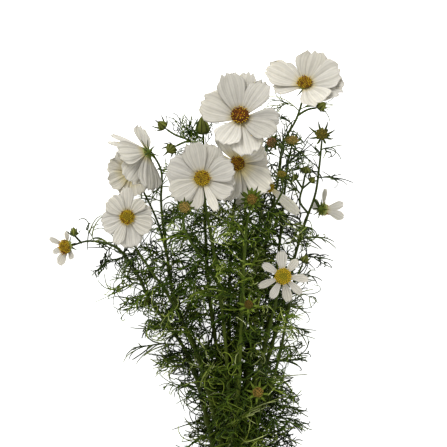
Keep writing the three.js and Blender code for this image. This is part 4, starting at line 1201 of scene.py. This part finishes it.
def add_leaf(shape, leaf, draw, mix):
    """One leaf: a swaying midrib, curling leaflets and a few smaller threads that leave those."""
    large = leaf.length > LARGE_LEAF
    stations = (LOW_PAIR, *LEAF_STATIONS) if large else (0.25, 0.55, 0.8)
    longer = 1 if large else 1.45
    twiggy = 0.27 if large else 0.12
    normal = unit(np.cross(leaf.start, leaf.flank))
    t = np.linspace(0, 1, 10)
    sway = leaf.flank * (draw() - 0.5) * np.sin(5 * t + 6 * draw())[:, None]
    sway = sway + normal * (draw() - 0.5) * np.sin(4 * t + 6 * draw())[:, None]
    hook = leaf.flank * (1.6 * draw() - 0.8) * t[:, None] ** 3
    rib = lifted(leaf.on_rib(0.94 * t) + leaf.length * (0.14 * sway * t[:, None] ** 1.5 + 0.16 * hook))
    taper = 0.68 * (1 - 0.45 * t)
    # The midrib's green carries painted shade low in the bunch and painted light near its top.
    tubes(shape, rib[None], taper[None], leaf_green(mix)[None] * painted_depth_shade(rib[None]), normal)
    heading = unit(np.gradient(rib, axis=0))

    def on_rib(place):
        return vec([[np.interp(place, t, line[:, axis]) for axis in range(3)] for line in (rib, heading)])

    threads = []
    for k, place in enumerate(stations):
        for hand in (1, -1):
            reach = leaf.length * (0.46 - 0.3 * abs(place - 0.4) - 0.05 * max(0, k - 1))
            start, ahead = on_rib(place + 0.05 * (draw() - 0.5))
            way = ahead * (0.5 + 0.4 * draw()) + leaf.flank * 0.75 * hand + normal * 0.5 * (draw() - 0.5)
            bend = ahead * 0.5 + leaf.droop * 0.6 + any_way(draw) * 0.9
            hook = 1.6 + 2.6 * draw() if draw() < 0.5 else draw() - 0.3
            long = reach * longer * (1 + 1.1 * draw())
            threads.append((start, unit(way), bend, long, 0.3 + 1.7 * draw(), hook))
    leaflets = curling(*map(vec, zip(*threads)))
    radii = vec([0.5 + 0.16 * draw() for _ in leaflets])
    mixes = vec([mix + 0.6 * (draw() - 0.5) for _ in leaflets])
    add_threads(shape, leaflets, radii, mixes, normal)

    threads.clear()
    for line in leaflets:
        reach = np.linalg.norm(np.diff(line, axis=0), axis=1).sum()
        first = draw() < 0.5
        for k, fork in enumerate((2, 4)):
            if draw() > twiggy:
                continue
            ahead = unit(line[fork + 1] - line[fork])
            out = unit(np.cross(normal, ahead)) * (1 if (k % 2 == 0) == first else -1)
            way = ahead * 0.8 + out * 0.6 + normal * 0.5 * (draw() - 0.5)
            long = reach * (0.72 - 0.08 * fork) * (0.8 + 0.9 * draw())
            bend = any_way(draw) - out * 0.3
            threads.append((line[fork], unit(way), bend, long, 1.5 * draw(), 2.2 * (draw() - 0.3)))
    if threads:
        twigs = curling(*map(vec, zip(*threads)))
        radii = np.full(len(twigs), 0.5)
        mixes = vec([mix + 0.05 + 0.6 * (draw() - 0.5) for _ in twigs])
        add_threads(shape, twigs, radii, mixes, normal)


EXTRA_SPACING = 18
FRONT_SPACING = 12  # on the stems that lie on top of the bunch, and show between the leaves
FRONT_BARE = 185  # y up to which those have no more leaves
EXTRA_SPREAD = 0.86  # of the CAD leaves' own, so that mostly those make the outline
OUTER_SPREAD = 1.3  # for the leaves of the outermost stems
SMALL_SPACING = 24
SMALL_LEAF = 32  # on side shoots and near the tops of the stems
LARGE_LEAF = 36  # leaves longer than this have more leaflets and twigs
SMALL_ABOVE = 285  # y from which a stem has small leaves


def leaf_on(line, place, bearing, size, draw):
    at = min(len(line) - 3, max(2, math.floor(place + (draw() - 0.5) * 8 + 0.5)))
    tangent = unit(line[at + 2] - line[at - 2])
    return Leaf(line[at], tangent, bearing, size, draw)


def leaves_along(line, first, last, spacing, size_at, spread, draw):
    """Leaves in pairs along a line, turned to ways in which they cover no head and stray nowhere."""
    found = []
    quarter = draw() * math.pi
    place = first + draw() * spacing
    while place < last:
        quarter += math.pi / 2 + 0.2 * draw()
        for half in (0, math.pi):
            for attempt in range(7):
                size = size_at(place) * (0.65 + 0.4 * draw())
                leaf = leaf_on(line, place, quarter + half + attempt * 0.9, size, draw)
                rib = leaf.on_rib(np.linspace(0, 1, 9))
                too_high = rib[:, 2].max() > FOLIAGE_TOP - 5
                limit = spread * (0.66 + 0.4 * draw())
                if not (too_high or covers_a_head(rib) or strays(rib, limit)):
                    found.append(leaf)
                    break
        place += spacing
    return found


def extra_leaves():
    """More leaves up each stem and on its shoots, which the CAD source leaves to this script."""
    found = []
    for name, stem in STEMS.items():
        draw = draws(stem["seed"] + 100)
        line = walk(STEM_LINES[name], 1)
        line = line[line[:, 1] > 0]
        low = int((line[:, 1] < SMALL_ABOVE).sum())
        front = stem["place"][1] > 0
        first = int((line[:, 1] < FRONT_BARE).sum()) if front else 8
        spacing = FRONT_SPACING if front else EXTRA_SPACING
        spread = OUTER_SPREAD if abs(stem["place"][0]) >= 2 else EXTRA_SPREAD
        large = leaves_along(
            line, first, min(low, len(line) - 30), spacing,
            lambda place: LEAF_SIZE * (1.2 - 0.6 * place / len(line)), spread, draw,
        )
        spacing = SMALL_SPACING * stem.get("leafy", 1)
        small = leaves_along(line, low, len(line) - 8, spacing, lambda place: SMALL_LEAF, 1.2, draw)
        for shoot in SHOOTS:
            if shoot["stem"] == name and "fork" not in shoot:
                run = walk(SHOOT_LINES[shoot["head"]], 1)
                last = len(run) - 4
                small += leaves_along(run, 4, last, spacing, lambda place: SMALL_LEAF, 1.2, draw)
        found += [(name, leaf) for leaf in large + small]
    return found


def stem_shape(name, leaves):
    draw = draws(STEMS[name]["seed"] + 200)
    shape = Shape()
    line = STEM_LINES[name]
    roots = [leaf.root for leaf in leaves[:24]]
    tone = 0.8 + 0.4 * draw()
    add_bar(shape, line, STEM_RADIUS, NECK_RADIUS, 12, STEM_GREEN * tone, NECK_GREEN * tone, roots)
    ahead = unit(line[1] - line[0])
    cut_face = vec([line[0] - 0.2 * ahead, line[0] + ahead, line[0] + 2 * ahead])
    tubes(shape, cut_face[None], 0.86 * STEM_RADIUS, CUT_PITH, UPWARD, 12)
    greens = {**dict.fromkeys(BLOOMS, bloom_green), **dict.fromkeys(SEED_HEADS, seed_green),
              **dict.fromkeys(BUDS, bud_green)}
    own = [shoot for shoot in SHOOTS if shoot["stem"] == name]
    for shoot in own:
        root = NECK_RADIUS if "fork" in shoot else SHOOT_RADIUS
        line = SHOOT_LINES[shoot["head"]]
        add_bar(shape, line, root, NECK_RADIUS, 8, NECK_GREEN * 1.2, NECK_GREEN)
    for head in (STEMS[name]["head"], *(shoot["head"] for shoot in own)):
        greens[head](shape, head, draw)
    for leaf in leaves:
        add_leaf(shape, leaf, draw, 0.1 + 0.6 * draw() ** 1.2)
    return shape


# ---------------------------------------------------------------- the rubber band
BAND_TURNS = 4
BAND_STEPS = 72


def band_shape():
    """Turns of one flat rubber band side by side, lying flat underneath."""
    shape = Shape()
    wide = BAND_WIDE / BAND_TURNS
    section = [
        (-0.5, 0.15), (-0.42, 0), (0.42, 0), (0.5, 0.15), (0.5, 0.85), (0.42, 1), (-0.42, 1),
        (-0.5, 0.85),
    ]
    angle = 2 * math.pi * np.arange(BAND_STEPS) / BAND_STEPS
    floor = BAND_MIDDLE - (BAND_UP + BAND_THICK) * math.cos(math.pi / BAND_SIDES)
    for turn in range(BAND_TURNS):
        middle = (turn - (BAND_TURNS - 1) / 2) * wide
        rows = []
        for across, out in section:
            y = middle + across * wide * 0.96 + 0.12 * np.sin(angle * 2 + turn)
            grow = out * BAND_THICK * (0.96 + 0.04 * math.sin(turn * 2.1))
            x = (BAND_ACROSS + grow) * np.cos(angle)
            z = np.maximum(BAND_MIDDLE + (BAND_UP + grow) * np.sin(angle), floor + (1 - out) * BAND_THICK)
            rows.append(np.stack([x, y, z], -1))
        rings = np.stack(rows, axis=1)
        quads = grid_faces(BAND_STEPS, len(section), True, ring=True)
        shape.add(rings.reshape(-1, 3), [quads], (1, 1, 1))
    return shape


# ---------------------------------------------------------------- materials
class Paint:
    """A new material with a principled shader, and short ways to add nodes to it."""

    def __init__(self, name, roughness, specular):
        self.material = bpy.data.materials.new(name)
        self.material.use_nodes = True
        self.tree = self.material.node_tree
        self.shader = self.tree.nodes["Principled BSDF"]
        self.feed(self.shader, {"Roughness": roughness, "Specular IOR Level": specular})

    def feed(self, node, inputs):
        """Give each input of a node its value, or link it to the output that it is given."""
        for name, value in inputs.items():
            if isinstance(value, bpy.types.NodeSocket):
                self.tree.links.new(value, node.inputs[name])
            else:
                node.inputs[name].default_value = value

    def add(self, kind, output, inputs, **settings):
        """Add a node, and return one of its outputs."""
        node = self.tree.nodes.new("ShaderNode" + kind)
        for name, value in settings.items():
            setattr(node, name, value)
        self.feed(node, inputs)
        return node.outputs[output]

    def noise(self, scale, detail, stretch=(1, 1, 1)):
        """Noise in object space. scale is how many spots there are in a metre."""
        place = self.add("TexCoord", "Object", {})
        place = self.add("Mapping", "Vector", {"Vector": place, "Scale": stretch})
        return self.add("TexNoise", "Fac", {"Vector": place, "Scale": scale, "Detail": detail})

    def remap(self, value, low, high, start=0.3, end=0.7):
        ends = {"From Min": start, "From Max": end, "To Min": low, "To Max": high}
        return self.add("MapRange", "Result", {"Value": value, **ends})

    def maths(self, operation, first, second):
        return self.add("Math", "Value", {0: first, 1: second}, operation=operation)

    def tint(self, factor):
        """Colour the surface with the mesh's own tint times a value."""
        tint = self.add("Attribute", "Color", {}, attribute_name="tint")
        colour = self.add("VectorMath", "Vector", {0: tint, "Scale": factor}, operation="SCALE")
        self.feed(self.shader, {"Base Color": colour})

    def bump(self, height, strength, distance=0.0002):
        inputs = {"Strength": strength, "Distance": distance, "Height": height}
        self.feed(self.shader, {"Normal": self.add("Bump", "Normal", inputs)})


def green_material():
    paint = Paint("green", 0.6, 0.12)
    fibres = paint.noise(900, 2, (1, 0.12, 1))
    blotch = paint.remap(paint.noise(60, 4), 0.78, 1.22)
    paint.tint(paint.maths("MULTIPLY", blotch, paint.remap(fibres, 0.88, 1.1)))
    paint.bump(fibres, 0.25, 0.0003)
    return paint.material


def petal_material():
    """White, letting some light through, with fine veins along it that are partly painted shade."""
    paint = Paint("petal", 0.62, 0.25)
    place = paint.add("Attribute", "Vector", {}, attribute_name="place")
    across = paint.add("SeparateXYZ", "X", {"Vector": place})
    phase = paint.add("SeparateXYZ", "Z", {"Vector": place})
    turned_by = paint.maths("ADD", paint.maths("MULTIPLY", across, VEINS), phase)
    wave = paint.maths("SINE", turned_by, 0.0)
    # The dark lines are partly the veins' own colour and partly painted shade in the fine grooves that
    # the bump below makes.
    vein_and_shade = paint.remap(wave, 0.89, 1.0, -1.0, -0.2)
    cloud = paint.remap(paint.noise(140, 4), 0.94, 1.03)
    paint.tint(paint.maths("MULTIPLY", vein_and_shade, cloud))
    paint.bump(paint.maths("ADD", wave, paint.noise(700, 3)), 0.35)
    light = {"Subsurface Weight": 0.5, "Subsurface Radius": (0.003, 0.003, 0.0026)}
    paint.feed(paint.shader, light)
    return paint.material


def floret_material(name, roughness):
    paint = Paint(name, roughness, 0.2)
    paint.tint(paint.remap(paint.noise(1400, 2), 0.8, 1.2))
    paint.bump(paint.noise(2500, 2), 0.3)
    return paint.material


def band_material():
    paint = Paint("band", 0.5, 0.45)
    shades = {"A": (*BAND_DARK, 1), "B": (*BAND_LIGHT, 1), "Factor": paint.noise(90, 3)}
    paint.feed(paint.shader, {"Base Color": paint.add("Mix", "Result", shades, data_type="RGBA")})
    paint.bump(paint.noise(1800, 2), 0.2)
    return paint.material


def floor_material():
    paint = Paint("floor", 0.9, 0.1)
    white = {"Base Color": (0.93, 0.93, 0.93, 1), "Emission Color": (1, 1, 1, 1)}
    paint.feed(paint.shader, {**white, "Emission Strength": 0.85})
    return paint.material


# ---------------------------------------------------------------- the bunch
green = green_material()
petal_white = petal_material()
floret_yellow = floret_material("disc", 0.75)
floret_brown = floret_material("seed", 0.85)

all_leaves = cad_leaves + extra_leaves()
for name in STEMS:
    own = [leaf for stem, leaf in all_leaves if stem == name]
    make_piece(name + "_dressed", stem_shape(name, own), green, "green", name)
for index, name in enumerate(BLOOMS):
    ring = petals_shape(name, draws(300 + index))
    make_piece(name + "_ring", ring, petal_white, "petal", name + "_petals")
    disc = disc_shape(name, draws(400 + index))
    make_piece(name + "_florets", disc, floret_yellow, "disc", name + "_disc")
for index, name in enumerate(SEED_HEADS):
    make_piece(name + "_dome", seed_shape(name, draws(500 + index)), floret_brown, "seed", name)
make_piece("rubber_band_turns", band_shape(), band_material(), "band", "rubber_band")

# ---------------------------------------------------------------- floor, light and camera
CAMERA_HIGH = 2200  # above the plane of the blooms
BLOOM_PLANE = 70
VIEW_CENTRE = (-11.5, 274.5)
VIEW_WIDE = 447  # what the photograph takes in at that plane
SENSOR = 36

floor_mesh = bpy.data.meshes.new("floor")
floor_mesh.from_pydata([(-8, -8, 0), (8, -8, 0), (8, 8, 0), (-8, 8, 0)], [], [(0, 1, 2, 3)])
floor_mesh.materials.append(floor_material())
floor = bpy.data.objects.new("floor", floor_mesh)
bpy.context.scene.collection.objects.link(floor)


def add_area(name, place, aim, size, power):
    """A soft square lamp, its place and aim in metres."""
    light = bpy.data.lights.new(name, "AREA")
    light.size = size
    light.energy = power
    lamp = bpy.data.objects.new(name, light)
    lamp.location = place
    lamp.rotation_mode = "QUATERNION"
    lamp.rotation_quaternion = (Vector(aim) - Vector(place)).to_track_quat("-Z", "Y")
    bpy.context.scene.collection.objects.link(lamp)


add_area("key", (-0.7, 1.5, 1.6), (0, 0.05, 0.05), 1.0, 25)
add_area("fill", (1.3, -0.7, 1.6), (0, 0.05, 0.05), 1.6, 9)

world = bpy.data.worlds.new("studio")
world.use_nodes = True
world.node_tree.nodes["Background"].inputs["Color"].default_value = (1, 1, 1, 1)
world.node_tree.nodes["Background"].inputs["Strength"].default_value = 0.6
bpy.context.scene.world = world
bpy.context.scene.view_settings.view_transform = "Standard"

camera_data = bpy.data.cameras.new("camera")
camera_data.sensor_width = SENSOR
camera_data.lens = SENSOR * CAMERA_HIGH / VIEW_WIDE
camera_data.clip_start = 0.05
camera_data.clip_end = 50
camera = bpy.data.objects.new("camera", camera_data)
camera.location = (vec((*VIEW_CENTRE, BLOOM_PLANE + CAMERA_HIGH)) + SHIFT) * MM
bpy.context.scene.collection.objects.link(camera)
bpy.context.scene.camera = camera
